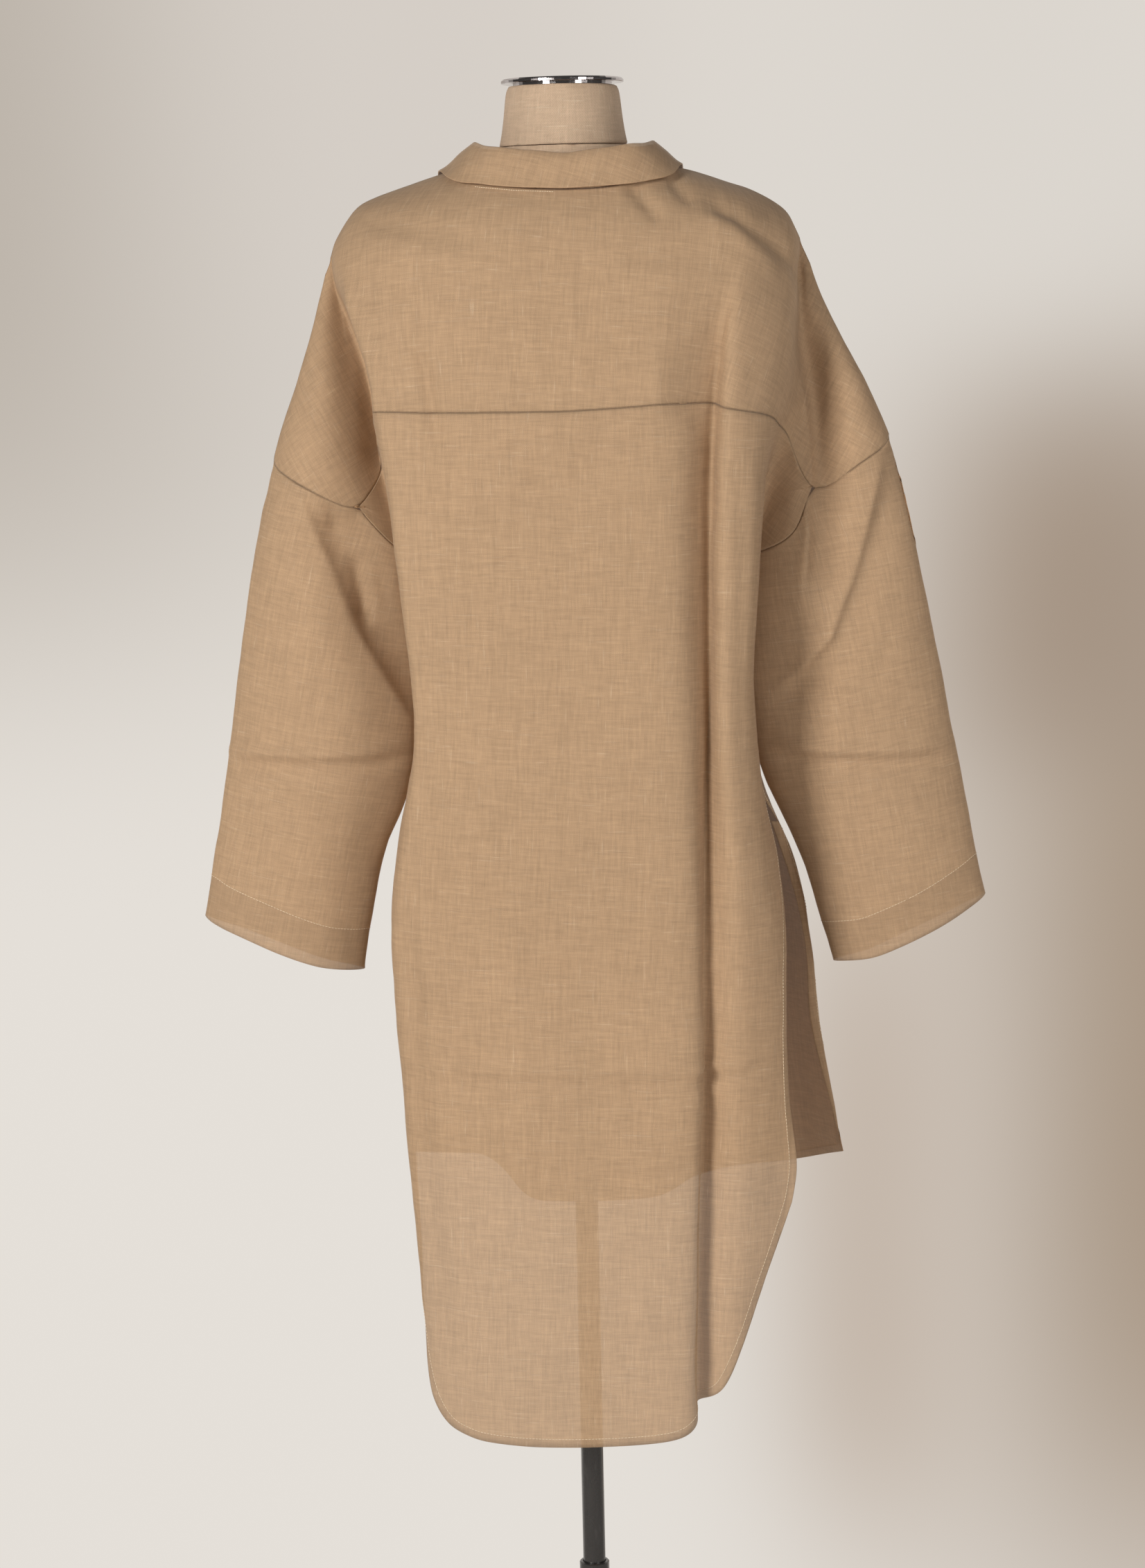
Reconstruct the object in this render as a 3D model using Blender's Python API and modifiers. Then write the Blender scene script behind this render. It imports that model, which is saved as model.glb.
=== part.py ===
"""Long linen tunic with a turned-down collar, worn by a limbless dress form on a pole stand.

Lengths in the tables are millimetres, and MM turns them into Blender's metres. +Z is up, +Y is the way
the tunic faces and +X is its wearer's right. The origin is the centre of the base disc's underside.

The cloth is worked out from level sections. A half section is a smooth curve through named stations,
from the centre (back or front) to the body's edge, into the fold beside the body, and out over the
hanging sleeve to its outer edge. A piece of cloth is a stretch of stations between two seam lines.
"""

import functools
import math

import bmesh
import bpy
from mathutils import Vector
from mathutils.bvhtree import BVHTree

MM = 0.001
CLOTH = 1.3 * MM
SEAM_GAP = 0.8
YOKE_GAP = 1.0
ARMPIT_GAP = 3.2
LEFT, RIGHT = -1, 1
BACK, FRONT = -1, 1

# Stations of a half section, counted outwards: centre, body edge, fold beside the body, sleeve's edge.
CENTRE, EDGE, SIDE, OUT = 0, 4, 5, 9
BODY_SHARES = (0.4, 0.7, 0.88)
BODY_ROUNDNESS = 3.5
WING_SHARES = (0.25, 0.55, 0.85)
WING_FULLNESS = (0.8, 1.0, 0.62)

# Heights of the level where the cloth rounds over the shoulder, and of the side seam's two ends.
CAP_Z = 1389.0
UNDERARM_Z = 1120.0
SLIT_TOP_Z = 890.0
ARMPIT_BLEND = 60.0

# Cloth on the centre line: z, back y, front y.
CENTRE_DEPTH = (
    (1389, -110, 100),
    (1345, -118, 119),
    (1294, -121, 134),
    (1250, -122, 141),
    (1120, -120, 139),
    (1000, -118, 137),
    (842, -117, 135),
    (640, -115, 134),
    (289, -112, 132),
)

# Body edge: z, x, y.
EDGE_BACK_LEFT = (
    (1389, 213, -45),
    (1345, 194, -72),
    (1294, 178, -86),
    (1250, 177, -92),
    (1200, 170, -95),
    (1150, 164, -97),
    (1046, 154, -96),
    (1000, 150, -95),
    (949, 151, -94),
    (878, 163, -90),
    (842, 170, -86),
    (790, 176, -80),
    (682, 174, -76),
    (603, 168, -76),
    (530, 163, -76),
    (450, 159, -76),
    (349, 153, -77),
    (289, 150, -78),
)
EDGE_FRONT_LEFT = (
    (1389, 212, 42),
    (1345, 192, 74),
    (1294, 178, 96),
    (1250, 174, 104),
    (1150, 164, 110),
    (1046, 154, 108),
    (949, 153, 106),
    (842, 170, 103),
    (640, 172, 100),
    (522, 166, 100),
)
EDGE_FRONT_RIGHT = (
    (1389, 206, 45),
    (1345, 192, 76),
    (1294, 184, 96),
    (1250, 178, 104),
    (1118, 168, 110),
    (1000, 160, 108),
    (900, 172, 106),
    (790, 194, 104),
    (672, 202, 106),
    (568, 216, 110),
    (522, 224, 112),
)

# Right half of the back with its long pleat: z, rim x, y, pit x, y, ridge x, y, edge x, y.
PLEAT_BACK_RIGHT = (
    (1389, 118, -106, 144, -101, 163, -96, 205, -55),
    (1345, 112, -117, 139, -101, 151, -111, 192, -84),
    (1294, 105, -120, 134, -94, 144, -117, 184, -93),
    (1250, 101, -121, 131, -90, 140, -119, 181, -97),
    (1190, 98, -120, 128, -87, 137, -119, 177, -98),
    (1118, 97, -119, 126, -85, 135, -118, 173, -97),
    (1000, 100, -118, 124, -84, 134, -116, 165, -94),
    (900, 104, -117, 119, -84, 137, -113, 171, -84),
    (842, 107, -116, 115, -84, 143, -109, 178, -80),
    (760, 109, -113, 113, -87, 145, -105, 184, -77),
    (640, 108, -113, 110, -84, 142, -101, 186, -74),
    (548, 105, -112, 106, -82, 139, -98, 190, -72),
    (440, 100, -111, 101, -80, 134, -95, 172, -72),
    (289, 97, -110, 97, -78, 126, -92, 150, -72),
)

# Fold beside the body above the underarm: z, x, y.
ARMPIT = {
    (LEFT, BACK): (
        (1389, 217, -22), (1345, 199, -6), (1294, 184, 4), (1250, 177, 7),
        (1200, 168, 8), (1150, 158, 7), (1120, 150, 6),
    ),
    (LEFT, FRONT): (
        (1389, 217, 8), (1345, 199, 15), (1294, 184, 20), (1250, 177, 22),
        (1200, 168, 20), (1150, 158, 14), (1120, 150, 6),
    ),
    (RIGHT, BACK): (
        (1389, 214, -32), (1345, 208, -54), (1294, 203, -66), (1262, 198, -62),
        (1236, 190, -44), (1212, 183, -14), (1190, 179, -2), (1150, 169, 4), (1120, 162, 6),
    ),
    (RIGHT, FRONT): (
        (1389, 214, 8), (1345, 206, 12), (1294, 199, 16), (1250, 191, 18),
        (1190, 179, 16), (1150, 169, 12), (1120, 162, 6),
    ),
}
# Side seam from the underarm to the slit, which both faces share: z, x, y.
SIDE_SEAM = {
    LEFT: ((1120, 148, 6), (1046, 138, 8), (1000, 136, 8), (949, 142, 8), (890, 156, 6)),
    RIGHT: ((1120, 160, 6), (1046, 153, 8), (1000, 153, 8), (949, 161, 6), (890, 176, -4)),
}
# Free edge beside the slit: z, x, y.
SLIT_EDGE = {
    (LEFT, BACK): (
        (890, 156, 6), (842, 166, -4), (790, 172, -9), (682, 169, -13), (603, 164, -16),
        (530, 158, -20), (450, 154, -26), (289, 146, -34),
    ),
    (LEFT, FRONT): ((890, 156, 6), (842, 166, 10), (790, 172, 13), (640, 170, 14), (522, 163, 16)),
    (RIGHT, BACK): (
        (890, 176, -4), (842, 187, -34), (790, 190, -56), (662, 190, -66), (602, 192, -67),
        (548, 200, -66), (440, 186, -66), (289, 160, -66),
    ),
    (RIGHT, FRONT): (
        (890, 176, -4), (851, 196, 26), (821, 208, 38), (790, 214, 42), (742, 220, 44),
        (713, 224, 45), (688, 225, 46), (647, 231, 48), (599, 239, 51), (558, 245, 54),
        (522, 253, 58),
    ),
}

# Hanging sleeve, and the part above its seam: z, inner x, outer x, middle y, half thickness.
SLEEVE = {
    LEFT: (
        (1389, 217, 224, 0, 3),
        (1345, 199, 237, 0, 13),
        (1294, 184, 252, 3, 24),
        (1250, 177, 268, 5, 31),
        (1200, 168, 284, 7, 35),
        (1120, 153, 303, 6, 40),
        (1046, 152, 316, 12, 41),
        (949, 156, 331, 16, 38),
        (878, 168, 343, 18, 35),
        (833, 184, 352, 19, 33),
        (788, 195, 360, 20, 31),
        (720, 206, 372, 21, 30),
    ),
    RIGHT: (
        (1389, 214, 227, 0, 4),
        (1345, 206, 244, 0, 16),
        (1294, 199, 270, 3, 28),
        (1250, 191, 291, 5, 33),
        (1190, 179, 311, 7, 37),
        (1120, 166, 326, 6, 41),
        (1046, 168, 341, 12, 42),
        (949, 178, 359, 16, 39),
        (871, 198, 374, 18, 36),
        (821, 211, 383, 19, 34),
        (777, 224, 393, 20, 32),
        (715, 243, 405, 21, 31),
    ),
}

# Top of the shoulder over each x, and the height of each neckline: x, z.
RIDGE = {
    LEFT: (
        (0, 1502), (60, 1499), (97, 1486), (138, 1473), (164, 1465), (190, 1456),
        (200, 1450), (209, 1437), (218, 1409), (224, 1392),
    ),
    RIGHT: (
        (0, 1502), (60, 1499), (97, 1486), (133, 1474), (158, 1466), (184, 1458),
        (197, 1454), (204, 1446), (216, 1418), (227, 1392),
    ),
}
NECK_HALF_WIDTH = 97.0
NECKLINE = {
    BACK: ((0, 1463), (45, 1465), (80, 1473), (97, 1486)),
    FRONT: ((0, 1335), (20, 1362), (45, 1398), (72, 1438), (90, 1470), (97, 1486)),
}

# Seams and hems: station, z.
YOKE_TIP = {LEFT: 6.25, RIGHT: 6.45}
YOKE_SEAM = {
    LEFT: ((0, 1263), (2, 1264), (4, 1266), (5, 1222), (6.25, 1168)),
    RIGHT: (
        (0, 1263), (0.85, 1268), (1, 1268.5), (2, 1267), (3, 1263), (4, 1256.5),
        (5, 1244), (5.5, 1238), (5.95, 1203), (6.45, 1175),
    ),
}
SLEEVE_SEAM = {
    LEFT: ((5, 1120), (6.25, 1168), (7.27, 1192), (9, 1221)),
    RIGHT: ((5, 1120), (5.5, 1125), (5.95, 1136), (6.3, 1154), (6.45, 1173), (7.5, 1206), (9, 1231)),
}
CUFF = {
    LEFT: ((5, 731), (5.6, 732), (6.3, 739), (7, 753), (7.67, 769), (9, 788)),
    RIGHT: ((5, 729), (5.9, 732), (6.6, 745), (7.33, 761), (8.3, 784), (9, 793)),
}
HEM = {
    (LEFT, BACK): ((0, 292), (1, 294), (2, 299), (3, 309), (3.5, 322), (4, 352), (4.5, 430), (5, 540)),
    (RIGHT, BACK): ((0, 292), (0.8, 297), (1, 308), (2, 326), (3, 336), (3.5, 388), (4, 480), (5, 548)),
    (LEFT, FRONT): ((0, 470), (0.9, 472), (1.4, 522), (3, 528), (4, 532), (5, 545)),
    (RIGHT, FRONT): ((0, 470), (0.8, 471), (1.3, 498), (2, 506), (3, 510), (4, 516), (5, 533)),
}

# Soft folds of the hanging sleeves: half, face, x, z of each end, width, depth.
FOLDS = (
    (LEFT, BACK, 238, 1185, 152, 985, 26, 15),
    (LEFT, BACK, 213, 1375, 178, 1175, 15, 14),
    (RIGHT, BACK, 228, 1345, 236, 1120, 17, 17),
    (RIGHT, BACK, 292, 1190, 196, 985, 16, 11),
    (LEFT, FRONT, 240, 1300, 190, 1040, 24, 12),
    (RIGHT, FRONT, 250, 1290, 200, 1030, 24, 12),
)

# Stations of the columns of faces in each stretch.
BACK_COLUMNS = (0, 0.5, 0.85, 1.2, 1.6, 2, 2.35, 2.7, 3.1, 3.6, 4, 4.5, 5)
SHOULDER_COLUMNS = (1.6, 2, 2.4, 2.8, 3.3, 4, 4.5, 5)
OUTER_COLUMNS = (6.9, 7.5, 8.1, 8.6, 9)
SLEEVE_START = 5.001
TIP_INSET = 0.05
# Turns of the yoke's and the front's columns that end at the neckline.
NECK_TURNS = (0, 0.25, 0.5, 0.72, 1)
# Fine path down the cloth: its step, and its points over the shoulder.
PATH_STEP, CAP_STEPS = 12.0, 14
YOKE_ROWS, FRONT_ROWS, WING_ROWS, SLEEVE_ROWS = 8, 9, 4, 13
SKIRT_ROWS = 16

# Collar, from the centre back (turn 0) over the shoulder (1) to its front end:
# turn, stand height, stand lean, x and z of the leaf's edge.
COLLAR = (
    (0.0, 30, -6, 0, 1461),
    (0.25, 33, -7, 42, 1463),
    (0.5, 31, -9, 80, 1467),
    (0.75, 27, -12, 105, 1472),
    (1.0, 22, -13, 116, 1482),
    (1.25, 17, -9, 114, 1436),
    (1.5, 10, -4, 98, 1392),
)
COLLAR_DROP = {LEFT: 2.0, RIGHT: 4.0}
LEAF_REACH = {LEFT: 1.0, RIGHT: 0.94}
COLLAR_END = 1.5
COLLAR_COLUMNS = 15
NECK_AXIS = Vector((0, 10, 1400))
LEAF_CLEAR = 5.6
FOOT_CLEAR = 1.6

# Dress form, as upright ovals: z, half width, back y, front y.
TORSO = (
    (738, 128, -84, 86),
    (746, 138, -93, 91),
    (780, 146, -101, 95),
    (830, 151, -107, 99),
    (885, 151, -107, 102),
    (960, 134, -98, 98),
    (1040, 114, -82, 92),
    (1110, 122, -86, 100),
    (1180, 136, -95, 114),
    (1250, 145, -101, 124),
    (1310, 150, -103, 116),
    (1360, 164, -101, 100),
    (1400, 179, -93, 87),
    (1436, 183, -82, 78),
    (1450, 174, -76, 74),
    (1461, 151, -71, 70),
    (1470, 118, -66, 65),
    (1479, 89, -61, 62),
    (1490, 72, -58, 61),
    (1505, 61, -57, 59),
)
TORSO_SIDES = 40
NECK = ((1505.6, 60), (1514, 58), (1530, 55.5), (1550, 53.5), (1556, 52.5), (1560.5, 50))
CAP_RADIUS, CAP_BOTTOM, CAP_TOP = 57.0, 1563.0, 1567.0
CAP_CORE_RADIUS = 46.0
POLE_RADIUS, POLE_TOP = 10.8, 737.5
TUBE_RADIUS, TUBE_BORE, TUBE_TOP = 14.4, 11.4, 145.0
HUB_RADIUS, HUB_HEIGHT = 32.0, 24.0
BASE_RADIUS, BASE_THICK = 160.0, 10.0
METAL_GAP = 0.4
ROUND_SIDES = 48


# ---------------------------------------------------------------- tables and curves

def slopes(keys, values):
    """Slope at each key, weighted towards the nearer neighbour."""
    steps = [(values[i + 1] - values[i]) / (keys[i + 1] - keys[i]) for i in range(len(keys) - 1)]
    found = [steps[0]]
    for i in range(1, len(keys) - 1):
        before, after = keys[i] - keys[i - 1], keys[i + 1] - keys[i]
        found.append((steps[i - 1] * after + steps[i] * before) / (before + after))
    return found + [steps[-1]]


def smooth(keys, values, rates, t):
    """Value at t of the smooth curve through values at rising keys."""
    t = min(max(t, keys[0]), keys[-1])
    i = 0
    while i < len(keys) - 2 and keys[i + 1] < t:
        i += 1
    width = keys[i + 1] - keys[i]
    a = (t - keys[i]) / width
    return (
        values[i] * (1 + 2 * a) * (1 - a) ** 2
        + rates[i] * width * a * (1 - a) ** 2
        + values[i + 1] * a * a * (3 - 2 * a)
        + rates[i + 1] * width * a * a * (a - 1)
    )


@functools.lru_cache(maxsize=None)
def columns(table):
    """The table's keys in rising order, and each further column with its slopes."""
    rows = sorted(table)
    keys = [row[0] for row in rows]
    values = [[row[c] for row in rows] for c in range(1, len(rows[0]))]
    return keys, [(column, slopes(keys, column)) for column in values]


def lookup(table, t):
    """Every column of a table at t, on smooth curves."""
    keys, found = columns(table)
    return [smooth(keys, values, rates, t) for values, rates in found]


def straight(table, t):
    """The second column of a table at t, straight between its rows."""
    for (a, low), (b, high) in zip(table, table[1:]):
        if t <= b:
            return low + (high - low) * max((t - a) / (b - a), 0.0)
    return table[-1][1]


def along(points, place):
    """Point at a place on the smooth curve through points, which are places 0, 1, 2 and on."""
    keys = [0.0]
    for a, b in zip(points, points[1:]):
        keys.append(keys[-1] + math.sqrt(max((b - a).length, 0.01)))
    i = min(int(place), len(points) - 2)
    t = keys[i] + (place - i) * (keys[i + 1] - keys[i])
    flat = []
    for axis in range(2):
        values = [p[axis] for p in points]
        flat.append(smooth(keys, values, slopes(keys, values), t))
    return Vector(flat)


# ---------------------------------------------------------------- level sections of the tunic

def side_point(half, face, z):
    """The fold beside the body, or below it the side seam, or below that the slit's edge."""
    if z >= UNDERARM_Z:
        return Vector(lookup(ARMPIT[half, face], z))
    if z >= SLIT_TOP_Z:
        return Vector(lookup(SIDE_SEAM[half], z))
    return Vector(lookup(SLIT_EDGE[half, face], z))


def body_points(half, face, z):
    """Stations CENTRE to EDGE of a half section, with x counted outwards."""
    centre = Vector((0, lookup(CENTRE_DEPTH, z)[0 if face == BACK else 1]))
    if face == BACK and half == RIGHT:
        row = lookup(PLEAT_BACK_RIGHT, z)
        return [centre] + [Vector(row[i:i + 2]) for i in range(0, 8, 2)]
    front = EDGE_FRONT_LEFT if half == LEFT else EDGE_FRONT_RIGHT
    edge = Vector(lookup(EDGE_BACK_LEFT if face == BACK else front, z))
    arc = []
    for share in BODY_SHARES:
        arc.append(Vector((share * edge.x, centre.y + (edge.y - centre.y) * share ** BODY_ROUNDNESS)))
    return [centre] + arc + [edge]


def wing_points(half, face, z):
    """Stations past SIDE, over the sleeve to its outer edge."""
    inner, outer, middle, thick = lookup(SLEEVE[half], z)
    points = []
    for share, fullness in zip(WING_SHARES, WING_FULLNESS):
        points.append(Vector((inner + (outer - inner) * share, middle + face * thick * fullness)))
    return points + [Vector((outer, middle))]


def upper_section(half, face, z):
    """Body and hanging sleeve in one, with a neighbour before the centre and past the outer edge."""
    body = body_points(half, face, z)
    before = Vector((-body[1].x, body[1].y))
    past = wing_points(half, -face, z)[2]
    return [before] + body + [side_point(half, face, z)] + wing_points(half, face, z) + [past]


def body_section(half, face, z):
    """Body alone, with a neighbour before the centre and, above the slit, past the side seam."""
    body = body_points(half, face, z)
    points = [Vector((-body[1].x, body[1].y))] + body + [side_point(half, face, z)]
    if z >= SLIT_TOP_Z:
        points.append(body_points(half, -face, z)[EDGE])
    return points


def sleeve_section(half, face, z):
    """Sleeve alone, with a neighbour from the other face at each end."""
    other = wing_points(half, -face, z)
    if z >= UNDERARM_Z:
        inner = side_point(half, face, z)
    else:
        row = lookup(SLEEVE[half], z)
        inner = Vector((row[0], row[2]))
    return [other[0], inner] + wing_points(half, face, z) + [other[2]]


def fold_depth(half, face, x, z):
    """How deep the sleeve's soft folds are at x, z."""
    total = 0.0
    for side, way, x0, z0, x1, z1, width, depth in FOLDS:
        if (side, way) != (half, face):
            continue
        run = Vector((x1 - x0, z1 - z0))
        share = (Vector((x - x0, z - z0)) @ run) / run.length_squared
        foot = Vector((x0, z0)) + run * min(max(share, 0.0), 1.0)
        fade = max(0.0, 1.0 - abs(2.0 * share - 1.0) ** 4)
        total += depth * fade * math.exp(-((Vector((x, z)) - foot).length / width) ** 2)
    return total


def level_point(half, face, s, z):
    """Point of the cloth at station s and height z, in millimetres and with x outwards."""
    share = min(max((z - UNDERARM_Z) / ARMPIT_BLEND, 0.0), 1.0)
    if s > SIDE:
        flat = along(sleeve_section(half, face, z), s - SIDE + 1)
    else:
        flat = along(body_section(half, face, z), s + 1)
    if share > 0:
        flat = flat.lerp(along(upper_section(half, face, z), s + 1), share * share * (3 - 2 * share))
    if s > SIDE:
        near_edges = math.sin(math.pi * (s - SIDE) / (OUT - SIDE))
        flat.y -= face * fold_depth(half, face, flat.x, z) * max(near_edges, 0.0) ** 0.5
    return flat


def cloth_point(half, face, s, z, top=None):
    """Point of the cloth in metres. Above CAP_Z it rounds over to the top of the shoulder."""
    flat = level_point(half, face, s, min(z, CAP_Z))
    if z > CAP_Z:
        top = top or max(straight(RIDGE[half], flat.x), CAP_Z + 1.0)
        rise = min((z - CAP_Z) / (top - CAP_Z), 1.0)
        flat.y *= math.sqrt(1.0 - rise * rise)
    return Vector((half * flat.x, flat.y + face * SEAM_GAP / 2, z)) * MM


def station_at(half, face, x, z):
    """Station whose point lies at x."""
    low, high = CENTRE, SIDE
    for _ in range(20):
        middle = (low + high) / 2
        if level_point(half, face, middle, min(z, CAP_Z)).x < x:
            low = middle
        else:
            high = middle
    return low


# ---------------------------------------------------------------- meshes

def even(points, count, first_gap, last_gap):
    """count + 1 points spread evenly along a path, which is shortened at its ends."""
    marks = [0.0]
    for a, b in zip(points, points[1:]):
        marks.append(marks[-1] + (b - a).length)
    start, end = first_gap * MM, marks[-1] - last_gap * MM
    found, i = [], 0
    for k in range(count + 1):
        mark = start + (end - start) * k / count
        while i < len(marks) - 2 and marks[i + 1] < mark:
            i += 1
        found.append(points[i].lerp(points[i + 1], (mark - marks[i]) / (marks[i + 1] - marks[i])))
    return found


def path(half, face, s, top, bottom):
    """Fine path down the cloth at station s."""
    points = []
    flat_x = level_point(half, face, s, CAP_Z).x
    peak = max(straight(RIDGE[half], flat_x), CAP_Z + 1.0)
    if top > CAP_Z:
        turn = math.asin(min((top - CAP_Z) / (peak - CAP_Z), 1.0))
        for k in range(CAP_STEPS):
            height = CAP_Z + (peak - CAP_Z) * math.sin(turn * (1 - k / CAP_STEPS))
            points.append(cloth_point(half, face, s, height, peak))
    start = min(top, CAP_Z)
    steps = max(int((start - bottom) / PATH_STEP), 2)
    for k in range(steps + 1):
        points.append(cloth_point(half, face, s, start + (bottom - start) * k / steps))
    return points


def top_edge(half, face, s):
    """Height of the neckline or the shoulder seam at station s."""
    x = level_point(half, face, s, CAP_Z).x
    if x >= NECK_HALF_WIDTH:
        return straight(RIDGE[half], x)
    height = straight(NECKLINE[face], x)
    if height < CAP_Z:
        height = straight(NECKLINE[face], level_point(half, face, s, height).x)
    return height


def body_column(half, face, s, top, rows, hem):
    """Column from a top edge past the underarm's level to the hem."""
    first_gap = 0
    if face == BACK:
        first_gap = ARMPIT_GAP if s == SIDE else YOKE_GAP
    upper = even(path(half, face, s, top, UNDERARM_Z), rows, first_gap, 0)
    lower = even(path(half, face, s, UNDERARM_Z, hem), SKIRT_ROWS, 0, 0)
    return upper + lower[1:]


def across(column, stations):
    """Columns from the left half's outermost station through the centre to the right half's."""
    left = [column(LEFT, s) for s in reversed(stations(LEFT)[1:])]
    return left + [column(RIGHT, s) for s in stations(RIGHT)]


def wing_stations(half):
    """Stations past SIDE: three as far as the yoke's tip, then the rest."""
    tip = YOKE_TIP[half] - TIP_INSET
    return (5.5, (5.5 + tip) / 2, tip) + OUTER_COLUMNS


def neck_stations(face):
    """Stations of a face whose first columns end at the neckline."""
    def stations(half):
        found = [station_at(half, face, NECK_HALF_WIDTH * math.sin(turn * math.pi / 2), CAP_Z)
                 for turn in NECK_TURNS]
        return found + list(SHOULDER_COLUMNS + wing_stations(half))
    return stations


def yoke_columns():
    def column(half, s):
        seam = YOKE_SEAM[half] if s <= YOKE_TIP[half] else SLEEVE_SEAM[half]
        points = path(half, BACK, s, top_edge(half, BACK, s), straight(seam, s))
        return even(points, YOKE_ROWS, 0, SEAM_GAP / 2)
    return across(column, neck_stations(BACK))


def back_columns():
    def column(half, s):
        seam = straight(YOKE_SEAM[half], s)
        if s > SIDE:
            points = path(half, BACK, s, seam, straight(SLEEVE_SEAM[half], s))
            return even(points, WING_ROWS, YOKE_GAP, SEAM_GAP / 2)
        return body_column(half, BACK, s, seam, WING_ROWS, straight(HEM[half, BACK], s))
    return across(column, lambda half: BACK_COLUMNS + wing_stations(half)[:3])


def front_columns():
    def column(half, s):
        top = top_edge(half, FRONT, s)
        if s > SIDE:
            points = path(half, FRONT, s, top, straight(SLEEVE_SEAM[half], s))
            return even(points, FRONT_ROWS, 0, SEAM_GAP / 2)
        return body_column(half, FRONT, s, top, FRONT_ROWS, straight(HEM[half, FRONT], s))
    return across(column, neck_stations(FRONT))


def sleeve_columns(half):
    """Columns of the tube, from its inner edge over the back and round by the front."""
    stations = wing_stations(half)
    ring = [(BACK, s) for s in (SLEEVE_START,) + stations]
    ring += [(FRONT, s) for s in reversed(stations[:-1])]
    found = []
    for face, s in ring:
        points = path(half, face, s, straight(SLEEVE_SEAM[half], s) - SEAM_GAP / 2, straight(CUFF[half], s))
        found.append(even(points, SLEEVE_ROWS, SEAM_GAP / 2, 0))
    return found


def neck_point(half, turn):
    """Point of the neckline at a turn from the centre back."""
    face = BACK if turn <= 1 else FRONT
    x = NECK_HALF_WIDTH * math.sin(turn * math.pi / 2)
    z = straight(NECKLINE[face], x)
    return cloth_point(half, face, station_at(half, face, x, z), z)


def collar_column(half, turn):
    """Neckline point, roll of the collar, leaf's edge and the level way outwards, at one turn."""
    height, lean, edge_x, edge_z = lookup(COLLAR, turn)
    height -= COLLAR_DROP[half] * max(1 - (2 * turn - 2) ** 2, 0.0)
    edge_x *= LEAF_REACH[half]
    base = neck_point(half, turn)
    out = Vector((base.x, base.y - NECK_AXIS.y * MM, 0)).normalized()
    roll = base + out * lean * MM + Vector((0, 0, height * MM))
    face = BACK if turn <= 1 else FRONT
    edge_z = min(edge_z, straight(RIDGE[half], edge_x))
    edge = cloth_point(half, face, station_at(half, face, edge_x, edge_z), edge_z)
    return base, roll, edge, out


def moved_out(point, panels):
    """The point, or where it would be at the leaf's clearance from the panel beneath it."""
    for tree in panels:
        spot, normal, _, _ = tree.find_nearest(point, 2 * LEAF_CLEAR * MM)
        if spot and (point - spot) @ normal < LEAF_CLEAR * MM:
            point = spot + normal * LEAF_CLEAR * MM
    return point


def collar_columns(panels):
    """Columns of the stand from its foot up, and of the leaf from the roll down."""
    stand, leaf = [], []
    up = Vector((0, 0, MM))
    for k in range(-COLLAR_COLUMNS, COLLAR_COLUMNS + 1):
        turn = COLLAR_END * k / COLLAR_COLUMNS
        half = LEFT if turn < 0 else RIGHT
        base, roll, edge, out = collar_column(half, abs(turn))
        foot = base + up * FOOT_CLEAR
        stand.append([foot, foot.lerp(roll, 0.5) - out * MM, roll])
        over = roll + up * 2.0
        bend = roll + out * 4.2 * MM - up * 1.0
        bow = out * 1.6 * MM + up * 1.2
        fall = [bend.lerp(edge, 0.35) + bow, bend.lerp(edge, 0.7) + bow, edge]
        leaf.append([over, bend] + [moved_out(point, panels) for point in fall])
    return stand, leaf


# ---------------------------------------------------------------- objects

def material(name, colour, roughness, metallic=0.0):
    made = bpy.data.materials.new(name)
    made.use_nodes = True
    shader = made.node_tree.nodes["Principled BSDF"]
    shader.inputs["Base Color"].default_value = (*colour, 1.0)
    shader.inputs["Roughness"].default_value = roughness
    shader.inputs["Metallic"].default_value = metallic
    made.diffuse_color = (*colour, 1.0)
    return made


def place(mesh, name, collection, finish):
    mesh.materials.append(finish)
    made = bpy.data.objects.new(name, mesh)
    collection.objects.link(made)
    return made


def panel(found, flip=False, ring=False):
    """Open surface of faces between neighbouring columns."""
    shape = bmesh.new()
    grid = [[shape.verts.new(point) for point in column] for column in found]
    pairs = list(zip(grid, grid[1:]))
    if ring:
        pairs.append((grid[-1], grid[0]))
    for a, b in pairs:
        for k in range(min(len(a), len(b)) - 1):
            corners = (a[k], b[k], b[k + 1], a[k + 1])
            shape.faces.new(reversed(corners) if flip else corners)
    shape.normal_update()
    return shape


def cloth_piece(name, shape, collection, finish):
    """Wall of cloth, by Solidify, on the outside of an open surface."""
    mesh = bpy.data.meshes.new(name)
    shape.to_mesh(mesh)
    shape.free()
    mesh.shade_smooth()
    made = place(mesh, name, collection, finish)
    wall = made.modifiers.new("wall", "SOLIDIFY")
    wall.thickness = CLOTH
    wall.offset = 1.0
    return made


def turned(name, profile, collection, finish, sides=ROUND_SIDES):
    """Solid or ring turned from a profile of radius and height that runs down its outer side."""
    mesh = bpy.data.meshes.new(name)
    points = [(radius * MM, 0, height * MM) for radius, height in profile]
    edges = [(i, i + 1) for i in range(len(points) - 1)]
    if profile[0][0] > 0:
        edges.append((len(points) - 1, 0))
    mesh.from_pydata(points, edges, [])
    made = place(mesh, name, collection, finish)
    screw = made.modifiers.new("turn", "SCREW")
    screw.steps = sides
    screw.render_steps = sides
    screw.use_merge_vertices = True
    screw.merge_threshold = 0.00001
    screw.use_smooth_shade = True
    return made


def disc(radius, top, bottom, edge=1.0):
    """Profile of a round plate with its rim's corners taken off."""
    return ((0, top), (radius - edge, top), (radius, top - edge), (radius, bottom + edge),
            (radius - edge, bottom), (0, bottom))


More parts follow.
